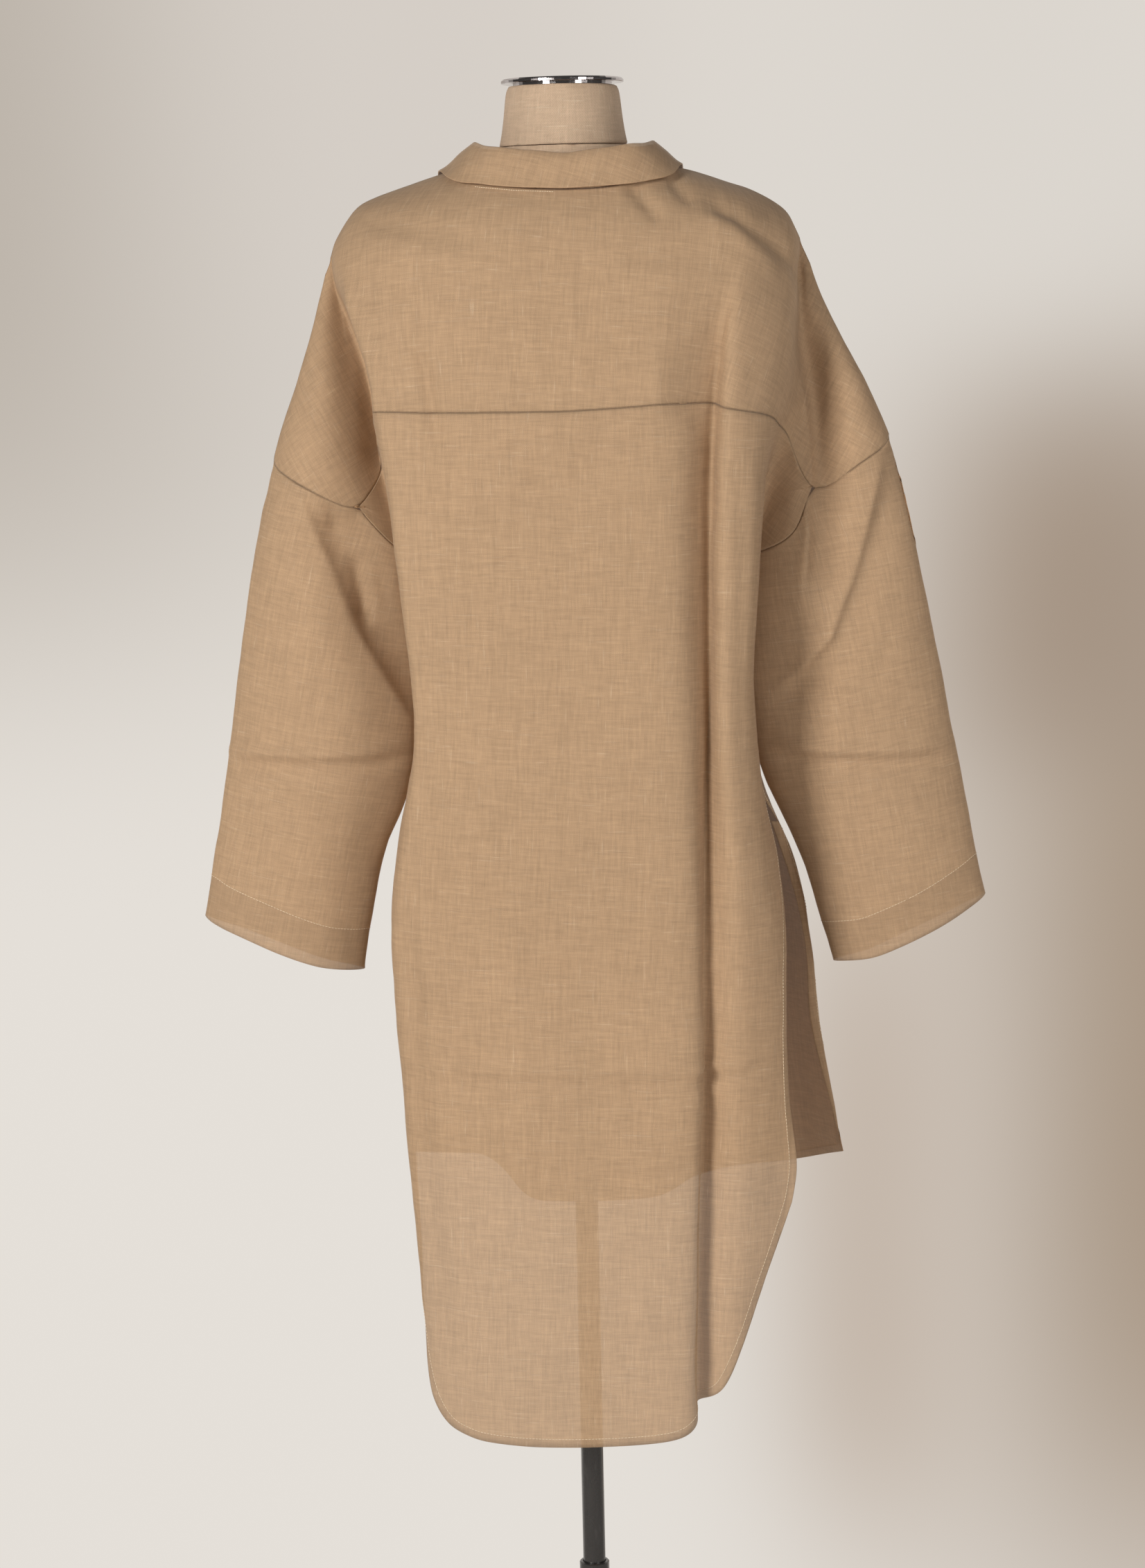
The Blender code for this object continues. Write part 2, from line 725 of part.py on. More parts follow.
def torso(collection, finish):
    """Closed loft of the form's ovals, which are deeper in front than behind."""
    shape = bmesh.new()
    rings = []
    for z, width, back, front in reversed(TORSO):
        ring = []
        for k in range(TORSO_SIDES):
            angle = 2 * math.pi * k / TORSO_SIDES
            depth = front if math.sin(angle) > 0 else -back
            point = Vector((width * math.cos(angle), depth * math.sin(angle), z)) * MM
            ring.append(shape.verts.new(point))
        rings.append(ring)
    for upper, lower in zip(rings, rings[1:]):
        for k in range(TORSO_SIDES):
            after = (k + 1) % TORSO_SIDES
            shape.faces.new((upper[k], lower[k], lower[after], upper[after]))
    shape.faces.new(rings[0])
    shape.faces.new(list(reversed(rings[-1])))
    mesh = bpy.data.meshes.new("form_torso")
    shape.to_mesh(mesh)
    shape.free()
    mesh.shade_smooth()
    mesh.set_sharp_from_angle(angle=math.radians(50))
    return place(mesh, "form_torso", collection, finish)


def dress_form(collection):
    canvas = material("form canvas", (0.42, 0.33, 0.25), 0.85)
    chrome = material("cap chrome", (0.80, 0.79, 0.78), 0.12, 1.0)
    black = material("stand black", (0.02, 0.018, 0.018), 0.25)
    torso(collection, canvas)
    neck_top, neck_radius = NECK[-1]
    neck = [(0, neck_top), (neck_radius - 3, neck_top)]
    neck += [(radius, z) for z, radius in reversed(NECK)] + [(0, NECK[0][0])]
    turned("form_neck", neck, collection, canvas)
    cap = [(0, CAP_TOP), (CAP_RADIUS - 1.5, CAP_TOP), (CAP_RADIUS, CAP_TOP - 1.5)]
    cap += [(CAP_RADIUS, CAP_BOTTOM + 0.5), (CAP_RADIUS - 0.5, CAP_BOTTOM)]
    core_bottom = neck_top + METAL_GAP
    cap += [(CAP_CORE_RADIUS, CAP_BOTTOM), (CAP_CORE_RADIUS, core_bottom), (0, core_bottom)]
    turned("neck_cap", cap, collection, chrome)
    pole_bottom = BASE_THICK + METAL_GAP
    turned("pole", disc(POLE_RADIUS, POLE_TOP, pole_bottom), collection, black)
    tube_bottom = BASE_THICK + HUB_HEIGHT + 2 * METAL_GAP
    tube = ((TUBE_BORE, TUBE_TOP), (TUBE_RADIUS - 1, TUBE_TOP), (TUBE_RADIUS, TUBE_TOP - 1),
            (TUBE_RADIUS, tube_bottom), (TUBE_BORE, tube_bottom))
    turned("pole_tube", tube, collection, black)
    hub_top, hub_bottom = BASE_THICK + METAL_GAP + HUB_HEIGHT, BASE_THICK + METAL_GAP
    hub = ((TUBE_BORE, hub_top), (TUBE_RADIUS + 6, hub_top), (HUB_RADIUS, hub_bottom + 6),
           (HUB_RADIUS, hub_bottom), (TUBE_BORE, hub_bottom))
    turned("base_hub", hub, collection, black)
    turned("base_disc", disc(BASE_RADIUS, BASE_THICK, 0, 2.0), collection, black, 64)


def tunic(collection):
    linen = material("khaki linen", (0.38, 0.27, 0.15), 0.9)
    yoke, front = panel(yoke_columns(), flip=True), panel(front_columns())
    stand, leaf = collar_columns([BVHTree.FromBMesh(yoke), BVHTree.FromBMesh(front)])
    cloth_piece("back_yoke", yoke, collection, linen)
    cloth_piece("front", front, collection, linen)
    cloth_piece("back", panel(back_columns(), flip=True), collection, linen)
    cloth_piece("sleeve_left", panel(sleeve_columns(LEFT), ring=True), collection, linen)
    cloth_piece("sleeve_right", panel(sleeve_columns(RIGHT), flip=True, ring=True), collection, linen)
    cloth_piece("collar_stand", panel(stand), collection, linen)
    cloth_piece("collar_leaf", panel(leaf, flip=True), collection, linen)


def main():
    for old in list(bpy.data.objects):
        bpy.data.objects.remove(old, do_unlink=True)
    collection = bpy.data.collections.new("tunic_on_dress_form")
    bpy.context.scene.collection.children.link(collection)
    tunic(collection)
    dress_form(collection)


main()
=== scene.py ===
"""Long linen tunic on a limbless dress form, seen from behind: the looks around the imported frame.

Tables are in millimetres and MM turns them into metres. +Z is up, +Y is the way the tunic faces.
"""

import math
from functools import reduce

import bmesh
import bpy
import numpy as np
from mathutils import Matrix, Vector, noise
from mathutils.kdtree import KDTree


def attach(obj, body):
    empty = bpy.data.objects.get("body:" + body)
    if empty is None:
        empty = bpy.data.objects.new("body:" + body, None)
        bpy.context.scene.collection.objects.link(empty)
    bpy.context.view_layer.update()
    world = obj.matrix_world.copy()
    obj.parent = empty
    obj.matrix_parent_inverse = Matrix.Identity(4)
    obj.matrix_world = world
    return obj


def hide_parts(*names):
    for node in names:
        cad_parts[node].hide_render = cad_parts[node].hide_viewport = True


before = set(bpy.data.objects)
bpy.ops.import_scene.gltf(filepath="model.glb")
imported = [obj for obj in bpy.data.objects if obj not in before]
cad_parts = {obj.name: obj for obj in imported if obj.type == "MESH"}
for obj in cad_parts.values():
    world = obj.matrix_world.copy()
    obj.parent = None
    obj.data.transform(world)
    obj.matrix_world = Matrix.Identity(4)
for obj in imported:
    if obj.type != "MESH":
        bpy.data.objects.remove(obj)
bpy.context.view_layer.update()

MM = 0.001

# The CAD cloth's wall, how exactly its rim is told by it, and the finished cloth's thickness.
WALL, WALL_TOLERANCE = 1.3, 0.03
CLOTH_THICK, COLLAR_THICK = 0.6, 1.3
# Points of a CAD mesh nearer than this are one point.
DOUBLES = 0.01
# Triangles are joined to quads across any angle on cloth, and across a low one on the form.
ANY_ANGLE, FORM_ANGLE = 3.1, 0.7
# How hard the form's edges past that angle stay when it is smoothed.
FORM_EDGE_CREASE = 0.9

# Pieces of cloth: CAD node, levels of smoothing, shown width and length of its cut in metres.
CLOTH = {
    "back_yoke": dict(levels=3, flat=(0.60, 0.29)),
    "back": dict(levels=3, flat=(0.54, 1.00)),
    "front": dict(levels=2, flat=(0.62, 1.02)),
    "sleeve_left": dict(levels=3, flat=(0.39, 0.46)),
    "sleeve_right": dict(levels=3, flat=(0.41, 0.46)),
    "collar_stand": dict(levels=3, flat=(0.42, 0.035)),
    "collar_leaf": dict(levels=3, flat=(0.46, 0.06)),
}

# Seams: the piece that gives way, and the pieces that it meets.
SEAMS = (
    ("back", ("back_yoke",)),
    ("front", ("back_yoke", "back")),
    ("sleeve_left", ("back_yoke", "back", "front")),
    ("sleeve_right", ("back_yoke", "back", "front")),
    ("collar_stand", ("back_yoke", "front")),
)
# Gap that a seam closes, and the cloth that gives way beside it.
SEAM_REACH, SEAM_EASE = 12.0, 42.0
# How near a seam's points an edge belongs to it, before and after the cloth is creased.
SEAM_MATCH, SEAM_JOINED = 4, 9
# Points of the edge that a point beside it follows, and a square in metres that evens them out.
SEAM_NEIGHBOURS, SEAM_SOFTENING = 14, 4e-8
# Steps between the points set along an edge, to sew on and to measure from.
SEW_STEP, MARK_STEP = 0.5, 0.8
# Points nearer than this, in metres, are the same.
SAME_POINT = 1e-6

# Creases: pieces, side, depth (a trough is positive), half width, then x, z along the crease.
YOKE, BACK, FRONT = ("back_yoke",), ("back",), ("front",)
LEFT, RIGHT = ("sleeve_left",), ("sleeve_right",)
BEHIND, BEFORE = -1, 1
CREASES = (
    # left sleeve: long soft ridge with its shaded side, and a pressed line across
    (LEFT, BEHIND, 3.8, 6, (-230, 1192), (-224, 1170), (-219, 1148)),
    (LEFT, BEHIND, 3.6, 6, (-206, 1134), (-201, 1105), (-197, 1085), (-194, 1055)),
    (LEFT, BEHIND, -1.6, 6, (-193, 1128), (-188, 1100), (-184, 1070)),
    (LEFT, BEHIND, -4.2, 6, (-346, 946), (-290, 945), (-249, 943), (-200, 944), (-148, 946)),
    (LEFT, BEHIND, 3.6, 7, (-346, 934), (-290, 933), (-249, 931), (-200, 932), (-148, 934)),
    # right sleeve: pressed line across, and a small crease
    (RIGHT, BEHIND, -4.2, 6, (172, 945), (230, 938), (273, 936), (320, 936), (366, 938)),
    (RIGHT, BEHIND, 3.6, 7, (172, 933), (230, 926), (273, 924), (320, 924), (366, 926)),
    (RIGHT, BEHIND, 1.6, 8, (300, 1060), (292, 1020), (270, 985)),
    # back and yoke: pressed line across the skirt, creases at the shoulders, faint long folds
    (BACK, BEHIND, -3.0, 6, (-178, 656), (-92, 655), (5, 652), (101, 650), (190, 655)),
    (BACK, BEHIND, 2.6, 7, (-178, 645), (-92, 645), (5, 642), (101, 640), (190, 645)),
    (BACK + YOKE, BEHIND, 5.0, 7, (-138, 1334), (-129, 1290), (-124, 1258), (-120, 1226)),
    (BACK, BEHIND, 3.0, 5, (-72, 1129), (-57, 1131), (-46, 1135)),
    (YOKE, BEHIND, 4.5, 8, (118, 1453), (155, 1438), (186, 1415), (214, 1390), (224, 1360)),
    (YOKE, BEHIND, -2.2, 8, (118, 1440), (150, 1426), (178, 1402), (200, 1376)),
    (YOKE, BEHIND, 4.0, 7, (56, 1474), (68, 1458), (80, 1443), (84, 1430)),
    (YOKE, BEHIND, 4.0, 7, (96, 1476), (106, 1460), (118, 1446)),
    (YOKE, BEHIND, 1.8, 9, (-200, 1440), (-160, 1436), (-110, 1425), (-60, 1420)),
    (YOKE, BEHIND, -1.6, 10, (-190, 1420), (-140, 1412), (-80, 1400)),
    (YOKE, BEHIND, 1.8, 11, (40, 1400), (80, 1404), (130, 1398), (170, 1380)),
    (YOKE, BEHIND, 1.5, 9, (-28, 1330), (-10, 1300), (10, 1268)),
    (BACK, BEHIND, 1.8, 6, (-157, 800), (-157, 680), (-150, 547), (-136, 413), (-126, 330)),
    (BACK, BEHIND, -1.6, 5, (-148, 820), (-140, 680), (-132, 547), (-118, 400)),
    (BACK, BEHIND, 0.9, 12, (-56, 700), (-62, 600), (-66, 480), (-70, 330)),
    (BACK, BEHIND, -0.9, 13, (-24, 640), (-30, 520), (-34, 400), (-36, 310)),
    (BACK, BEHIND, 0.8, 12, (30, 620), (34, 500), (38, 330)),
    (BACK, BEHIND, 1.2, 8, (150, 1230), (156, 1150), (152, 1020), (150, 900)),
    # front: plain soft folds like those behind
    (FRONT, BEFORE, 1.2, 12, (-120, 1240), (-112, 1050), (-118, 860), (-122, 640)),
    (FRONT, BEFORE, -1.2, 14, (-70, 1200), (-60, 980), (-66, 760), (-74, 560)),
    (FRONT, BEFORE, 1.0, 10, (64, 1180), (70, 1000), (78, 800), (84, 600)),
    (FRONT, BEFORE, 1.4, 13, (128, 1260), (134, 1080), (146, 880), (160, 640)),
    (FRONT, BEFORE, 0.9, 6, (-172, 658), (-60, 655), (60, 654), (200, 660)),
    (LEFT, BEFORE, 3.0, 13, (-240, 1190), (-222, 1130), (-200, 1070), (-176, 1020)),
    (LEFT, BEFORE, -2.2, 12, (-262, 1180), (-244, 1110), (-222, 1050), (-190, 1000)),
    (LEFT, BEFORE, 0.9, 7, (-330, 948), (-249, 943), (-158, 945)),
    (RIGHT, BEFORE, 3.0, 13, (256, 1190), (240, 1130), (222, 1070), (200, 1020)),
    (RIGHT, BEFORE, -2.2, 12, (282, 1180), (268, 1110), (248, 1050), (218, 1000)),
    (RIGHT, BEFORE, 0.9, 7, (188, 937), (273, 932), (351, 933)),
)
# How many half widths a crease reaches, and the share of its length that fades at each end.
CREASE_REACH, CREASE_FADE = 3, 0.22

# Laps: cloth that drops away beside a line, to its right or (negative reach) left.
# Pieces, depth, how far off it is deepest, reach, then x, z along it.
LAPS = (
    (LEFT, 10.0, 19, 60, (-264, 1214), (-245, 1165), (-231, 1132), (-219, 1100), (-207, 1067),
     (-191, 1035), (-176, 1007), (-148, 958)),
    (YOKE, 14.0, 3, -34, (-208, 1412), (-194, 1364), (-185, 1338), (-176, 1313), (-170, 1287),
     (-169, 1262), (-169, 1236), (-168, 1190)),
    (YOKE + RIGHT, 16.0, 14, 40, (195, 1366), (212, 1301), (219, 1272), (223, 1240), (225, 1195),
     (222, 1140), (214, 1070)),
    (RIGHT, 10.0, 16, 55, (298, 1234), (288, 1192), (280, 1160), (271, 1128), (263, 1102),
     (251, 1073), (241, 1044), (221, 1022), (201, 1003), (172, 980)),
)
LAP_FADE_TOP, LAP_FADE_FOOT = 0.25, 0.18
# The lip that stands up along a lap's line: share of the depth, how far it dies away, its end.
LIP_HEIGHT, LIP_REACH, LIP_END = 0.04, 7.0, 4
# A lap whose deepest place is nearer than this is steep, and its edge hangs over its hollow.
STEEP = 5
LEAN, LEAN_REACH = 9.0, 8.0

# How far a sleeve's inner side is drawn in towards the body: z, distance.
DRAWN_IN = {
    "sleeve_left": ((1080, 0), (1030, 5), (975, 9), (935, 9), (900, 6), (855, 0)),
    "sleeve_right": ((1190, 0), (1140, 6), (1080, 11), (1000, 16), (940, 17), (900, 13),
                     (860, 5), (820, 0)),
}
DRAWN_REACH, DRAWN_ROW = 70.0, 8
SLEEVE_EASING = 14
# Band above a cuff's lowest point where the sleeve's own seam starts, in metres, and the least
# upward share of a step that still follows it.
CUFF_BAND, LEAST_RISE = 0.08, 0.3

# Slow unevenness of the worn cloth: wavelength and height, and where the noise starts.
RIPPLES = ((95, 1.8), (38, 0.75), (17, 0.26))
COLLAR_RIPPLES = ((34, 0.8), (17, 0.35))
RIPPLE_START = Vector((4.2, 1.7, 3.3))
# A surface turned this far to the back or the front takes the whole depth of a crease.
FACING = 0.35

# Slit edge of the front that rolls over towards the back: z, width of the roll.
ROLL = ((905, 0.5), (885, 3), (851, 9), (821, 12), (790, 7), (742, 4.5), (713, 5), (690, 9),
        (672, 10.5), (647, 9.5), (620, 7), (590, 4), (565, 1.5), (540, 0.5))
# Section of the roll in widths, out and towards the back, and its least width.
ROLL_SECTION = ((0.10, -0.14), (0.05, -0.42), (-0.35, -0.62), (-1.0, -0.55))
ROLL_LEAST = 1.0
# Where the rolled edge is, in metres: beyond this x and between these heights.
ROLL_X, ROLL_LOW, ROLL_HIGH = 0.17, 0.53, 0.893

# Hems: highest point of each free edge, and the depth of the turning.
HEM_TOP = {"back": 905.0, "front": 905.0, "sleeve_left": 860.0, "sleeve_right": 860.0}
HEM_BODY, HEM_CUFF = 8.0, 40.0
# A hem's row of stitches has more points than this; a shorter one is a scrap.
HEM_SCRAP = 20

# Stitches, and the row that holds the collar's stand to the yoke: x, z.
HEM_STITCH = dict(pitch=3.1, length=2.4, thick=0.55)
COLLAR_STITCH = dict(pitch=2.2, length=1.7, thick=0.7)
COLLAR_ROW = ((-82, 1468), (-62, 1465.5), (-44, 1463.5), (-9, 1461.5))
# Rings of one stitch: place along it, height in thicknesses, size.
STITCH_RINGS = ((-0.5, -0.25, 0.55), (-0.3, 0.12, 0.95), (0.0, 0.22, 1.0), (0.3, 0.12, 0.95),
                (0.5, -0.25, 0.55))
STITCH_SIDES, STITCH_LIFT = 5, 0.1
STITCH_SWING, STITCH_SWINGS_PER_METRE = 0.12, 900

# Weave: noise grains per metre across and along the yarn, and where each noise starts.
WARP_YARN, WEFT_YARN = ((820, 60, 1), (3.1, 0.2, 0.5)), ((60, 780, 1), (0.4, 7.3, 2.5))
WARP_BAND, WEFT_BAND = ((430, 26, 1), (1.7, 2.9, 4.5)), ((40, 390, 1), (5.2, 1.1, 6.5))
WARP_SLUB, WEFT_SLUB = ((850, 42, 1), (9.1, 3.3, 8.5)), ((38, 800, 1), (2.2, 6.1, 10.5))
YARN_SHADE, BAND_SHADE, HOLE_SHADE = 0.62, 0.24, 0.10

# Painted shade by distance from a seam or a hem's stitches, in metres: from, to, shade there,
# beyond. It darkens each seam's groove and the doubled cloth beside seams and along hems.
SEAM_GROOVE_SHADE = (0.0001, 0.0007, 0.74, 1.0)
SEAM_PLIES_SHADE = (0.0085, 0.0100, 0.975, 1.0)
HEM_PLIES_SHADE = (-0.0010, 0.0004, 0.90, 1.0)
# Height by the same distances.
SEAM_DIP = (0.0001, 0.0012, 0.45, 1.0)
HEM_STEP = (-0.0012, 0.0002, 0.6, 0.0)

# Radius that the canvas is unrolled from, in metres.
CANVAS_RADIUS = {"form_torso": 0.14, "form_neck": 0.06}


# ------------ nodes of a material

def add(tree, kind, inputs=None, **settings):
    """A node with its settings; an input is a value or another node's output."""
    made = tree.nodes.new("ShaderNode" + kind)
    for name, value in settings.items():
        setattr(made, name, value)
    for name, value in (inputs or {}).items():
        if isinstance(value, bpy.types.NodeSocket):
            tree.links.new(value, made.inputs[name])
        else:
            made.inputs[name].default_value = value
    return made


def maths(tree, operation, a, b=0.0):
    return add(tree, "Math", {0: a, 1: b}, operation=operation).outputs[0]


def times(tree, *factors):
    return reduce(lambda a, b: maths(tree, "MULTIPLY", a, b), factors)


def plus(tree, a, b):
    return maths(tree, "ADD", a, b)


def minus(tree, a, b):
    return maths(tree, "SUBTRACT", a, b)


def spread(tree, value, low, high, to_low=0.0, to_high=1.0):
    """Value taken from one range to another, with soft ends."""
    made = add(tree, "MapRange", {
        "Value": value, "From Min": low, "From Max": high, "To Min": to_low, "To Max": to_high,
    }, interpolation_type="SMOOTHSTEP")
    return made.outputs["Result"]


def blended(tree, share, a, b):
    """Value between a and b."""
    made = add(tree, "Mix", {"Factor": share, "A": a, "B": b}, data_type="FLOAT")
    return made.outputs[0]


def mixed_colour(tree, share, a, b, blend_type="MIX"):
    made = add(tree, "Mix", {0: share, 6: a, 7: b}, data_type="RGBA",
               blend_type=blend_type)
    return made.outputs[2]


def toned(tree, colour, shade):
    """Colour multiplied by a shade."""
    grey = add(tree, "CombineColor", {"Red": shade, "Green": shade, "Blue": shade})
    return mixed_colour(tree, 1.0, colour, grey.outputs["Color"], "MULTIPLY")


def fine_noise(tree, place, stretch, offset=(0, 0, 0), detail=1.0, rough=0.5):
    """Noise whose grains are 1/stretch metres long along each axis."""
    moved = add(tree, "Mapping",
                {"Vector": place, "Location": offset, "Scale": stretch})
    made = add(tree, "TexNoise", {
        "Vector": moved.outputs["Vector"], "Scale": 1.0, "Detail": detail, "Roughness": rough,
    })
    return made.outputs["Fac"]


def object_place(tree):
    return add(tree, "TexCoord").outputs["Object"]


def cut_place(tree):
    """Place on the piece's own flat cut."""
    return add(tree, "UVMap", uv_map="cut").outputs["UV"]


def new_group(name, inputs, outputs):
    """A node group that reads a place and some numbers."""
    group = bpy.data.node_groups.new(name, "ShaderNodeTree")
    group.interface.new_socket("Place", in_out="INPUT", socket_type="NodeSocketVector")
    for socket, value in inputs:
        made = group.interface.new_socket(socket, in_out="INPUT", socket_type="NodeSocketFloat")
        made.default_value = value
    for socket in outputs:
        group.interface.new_socket(socket, in_out="OUTPUT", socket_type="NodeSocketFloat")
    return group, group.nodes.new("NodeGroupInput"), group.nodes.new("NodeGroupOutput")


def placed(tree, group, inputs):
    """Outputs of a node group set in a material."""
    return add(tree, "Group", inputs, node_tree=group).outputs


def plain_weave_group():
    """Plain weave with uneven yarn. Place is in metres along the weft and the warp."""
    group, given, result = new_group(
        "plain_weave", (("Threads Per Metre", 1050.0), ("Unevenness", 1.0), ("Slubs", 1.0)),
        ("Shade", "Slub", "Height"))
    place = given.outputs["Place"]
    warp = fine_noise(group, place, *WARP_YARN, 2.0, 0.6)
    weft = fine_noise(group, place, *WEFT_YARN, 2.0, 0.6)
    bands = plus(group, fine_noise(group, place, *WARP_BAND, 2.0, 0.6),
                 fine_noise(group, place, *WEFT_BAND, 2.0, 0.6))
    split = add(group, "SeparateXYZ", {"Vector": place})
    turns = times(group, given.outputs["Threads Per Metre"], math.pi)
    across = maths(group, "SINE", times(group, split.outputs["X"], turns))
    along = maths(group, "SINE", times(group, split.outputs["Y"], turns))
    over = times(group, across, along)
    yarn = blended(group, spread(group, over, -0.6, 0.6), warp, weft)
    crossing = maths(group, "ABSOLUTE", over)
    holes = spread(group, crossing, 0.30, 0.02)
    shade = plus(group, times(group, minus(group, yarn, 0.5), YARN_SHADE),
                 times(group, minus(group, bands, 1.0), BAND_SHADE))
    shade = times(group, shade, given.outputs["Unevenness"])
    shade = minus(group, shade, times(group, holes, HOLE_SHADE))
    slub = maths(group, "MAXIMUM", spread(group, fine_noise(group, place, *WARP_SLUB), 0.66, 0.80),
                 spread(group, fine_noise(group, place, *WEFT_SLUB), 0.65, 0.80))
    slub = times(group, slub, given.outputs["Slubs"])
    height = plus(group, times(group, crossing, 0.5), plus(group, times(group, yarn, 0.6), slub))
    group.links.new(plus(group, shade, 1.0), result.inputs["Shade"])
    group.links.new(slub, result.inputs["Slub"])
    group.links.new(height, result.inputs["Height"])
    return group


def mottle_group():
    """Slow lighter and darker patches, for wear, dust and handling."""
    group, given, result = new_group(
        "mottle", (("Patches Per Metre", 12.0), ("Amount", 0.06)), ("Shade", "Mask"))
    found = add(group, "TexNoise", {
        "Vector": given.outputs["Place"], "Scale": given.outputs["Patches Per Metre"],
        "Detail": 3.0, "Roughness": 0.55,
    }).outputs["Fac"]
    swing = times(group, minus(group, found, 0.5), given.outputs["Amount"])
    shade = plus(group, times(group, swing, 2.0), 1.0)
    group.links.new(shade, result.inputs["Shade"])
    group.links.new(spread(group, found, 0.5, 0.7), result.inputs["Mask"])
    return group


def new_material(name):
    made = bpy.data.materials.new(name)
    made.use_nodes = True
    made.node_tree.nodes.clear()
    return made, made.node_tree


def surfaced(tree, shader):
    """Ends a material in a shader."""
    add(tree, "OutputMaterial", {"Surface": shader.outputs[0]})


def one_sided(tree, shader):
    """Ends a material in a shader that shows on the front of a face only."""
    clear = add(tree, "BsdfTransparent")
    from_behind = add(tree, "NewGeometry").outputs["Backfacing"]
    surfaced(tree, add(tree, "MixShader",
                       {0: from_behind, 1: shader.outputs[0], 2: clear.outputs[0]}))


# ------------ materials

WEAVE = plain_weave_group()
MOTTLE = mottle_group()


def linen(name, colour, light, see_through, glow):
    """Linen whose threads follow the piece's own cut, with seams and hems from its attributes.

    See-through is the share of open weave, and glow the share of light let through the yarn.
    """
    made, tree = new_material(name)
    weave = placed(tree, WEAVE, {
        "Place": cut_place(tree), "Threads Per Metre": 1050.0, "Unevenness": 1.0, "Slubs": 0.5,
    })
    patches = placed(tree, MOTTLE, {
        "Place": object_place(tree), "Patches Per Metre": 14.0, "Amount": 0.035,
    })
    seam = add(tree, "Attribute", attribute_name="seam").outputs["Fac"]
    hem = add(tree, "Attribute", attribute_name="hem").outputs["Fac"]
    # The seam and hem factors are painted shade: in each seam's groove, and on the doubled cloth
    # beside seams and along hems.
    shade = times(tree, weave["Shade"], patches["Shade"], spread(tree, seam, *SEAM_GROOVE_SHADE),
                  spread(tree, seam, *SEAM_PLIES_SHADE), spread(tree, hem, *HEM_PLIES_SHADE))
    colour = toned(tree, mixed_colour(tree, weave["Slub"], (*colour, 1), (*light, 1)), shade)
    bump = add(tree, "Bump",
               {"Strength": 0.35, "Distance": 0.00022, "Height": weave["Height"]})
    plies = plus(tree, spread(tree, seam, *SEAM_DIP), spread(tree, hem, *HEM_STEP))
    fold = add(tree, "Bump", {
        "Strength": 0.6, "Distance": 0.0009, "Height": plies, "Normal": bump.outputs["Normal"],
    }).outputs["Normal"]
    shader = add(tree, "BsdfPrincipled", {
        "Base Color": colour, "Roughness": 0.88, "Normal": fold,
        "Specular IOR Level": 0.22, "Sheen Weight": 0.08, "Sheen Roughness": 0.45,
    })
    through = add(tree, "BsdfTranslucent", {"Color": colour, "Normal": fold})
    clear = add(tree, "BsdfTransparent")
    cloth = add(tree, "MixShader", {0: glow, 1: shader.outputs[0], 2: through.outputs[0]})
    open_weave = add(tree, "MixShader",
                     {0: see_through, 1: cloth.outputs[0], 2: clear.outputs[0]})
    one_sided(tree, open_weave)
    return made


def thread(name, colour):
    """Twisted sewing thread."""
    made, tree = new_material(name)
    twist = fine_noise(tree, object_place(tree), (2600, 2600, 2600))
    surfaced(tree, add(tree, "BsdfPrincipled", {
        "Base Color": toned(tree, (*colour, 1), spread(tree, twist, 0.3, 0.7, 0.82, 1.08)),
        "Roughness": 0.6, "Specular IOR Level": 0.3, "Sheen Weight": 0.1,
    }))
    return made


def canvas(name, colour, light):
    """Fine twill of the form's covering."""
    made, tree = new_material(name)
    cut = cut_place(tree)
    slant = add(tree, "Mapping", {"Vector": cut, "Rotation": (0, 0, math.radians(40))})
    twill = add(tree, "TexWave", {
        "Vector": slant.outputs["Vector"], "Scale": 210.0, "Distortion": 3.0,
        "Detail": 2.0, "Detail Scale": 2.5,
    }, wave_type="BANDS", bands_direction="X").outputs["Fac"]
    weave = placed(tree, WEAVE, {
        "Place": cut, "Threads Per Metre": 1300.0, "Unevenness": 0.9, "Slubs": 0.8,
    })
    patches = placed(tree, MOTTLE, {
        "Place": object_place(tree), "Patches Per Metre": 30.0, "Amount": 0.04,
    })
    shade = times(tree, weave["Shade"], patches["Shade"],
                  spread(tree, twill, 0.0, 1.0, 0.90, 1.06))
    base = mixed_colour(tree, weave["Slub"], (*colour, 1), (*light, 1))
    height = plus(tree, weave["Height"], times(tree, twill, 0.8))
    bump = add(tree, "Bump", {"Strength": 0.5, "Distance": 0.0003, "Height": height})
    surfaced(tree, add(tree, "BsdfPrincipled", {
        "Base Color": toned(tree, base, shade), "Roughness": 0.85,
        "Normal": bump.outputs["Normal"], "Specular IOR Level": 0.2, "Sheen Weight": 0.1,
    }))
    return made


def chrome(name):
    """Polished metal with fine scratches and smears."""
    made, tree = new_material(name)
    place = object_place(tree)
    smear = placed(tree, MOTTLE, {"Place": place, "Patches Per Metre": 45.0, "Amount": 0.05})
    scratch = fine_noise(tree, place, (90, 90, 2600), detail=2.0)
    rough = plus(tree, spread(tree, scratch, 0.4, 0.75, 0.10, 0.20),
                 times(tree, smear["Mask"], 0.08))
    tone = times(tree, smear["Shade"], 0.50)
    warm = times(tree, tone, 0.93)
    colour = add(tree, "CombineColor", {"Red": tone, "Green": warm, "Blue": warm})
    surfaced(tree, add(tree, "BsdfPrincipled", {
        "Base Color": colour.outputs["Color"], "Roughness": rough, "Metallic": 1.0,
    }))
    return made


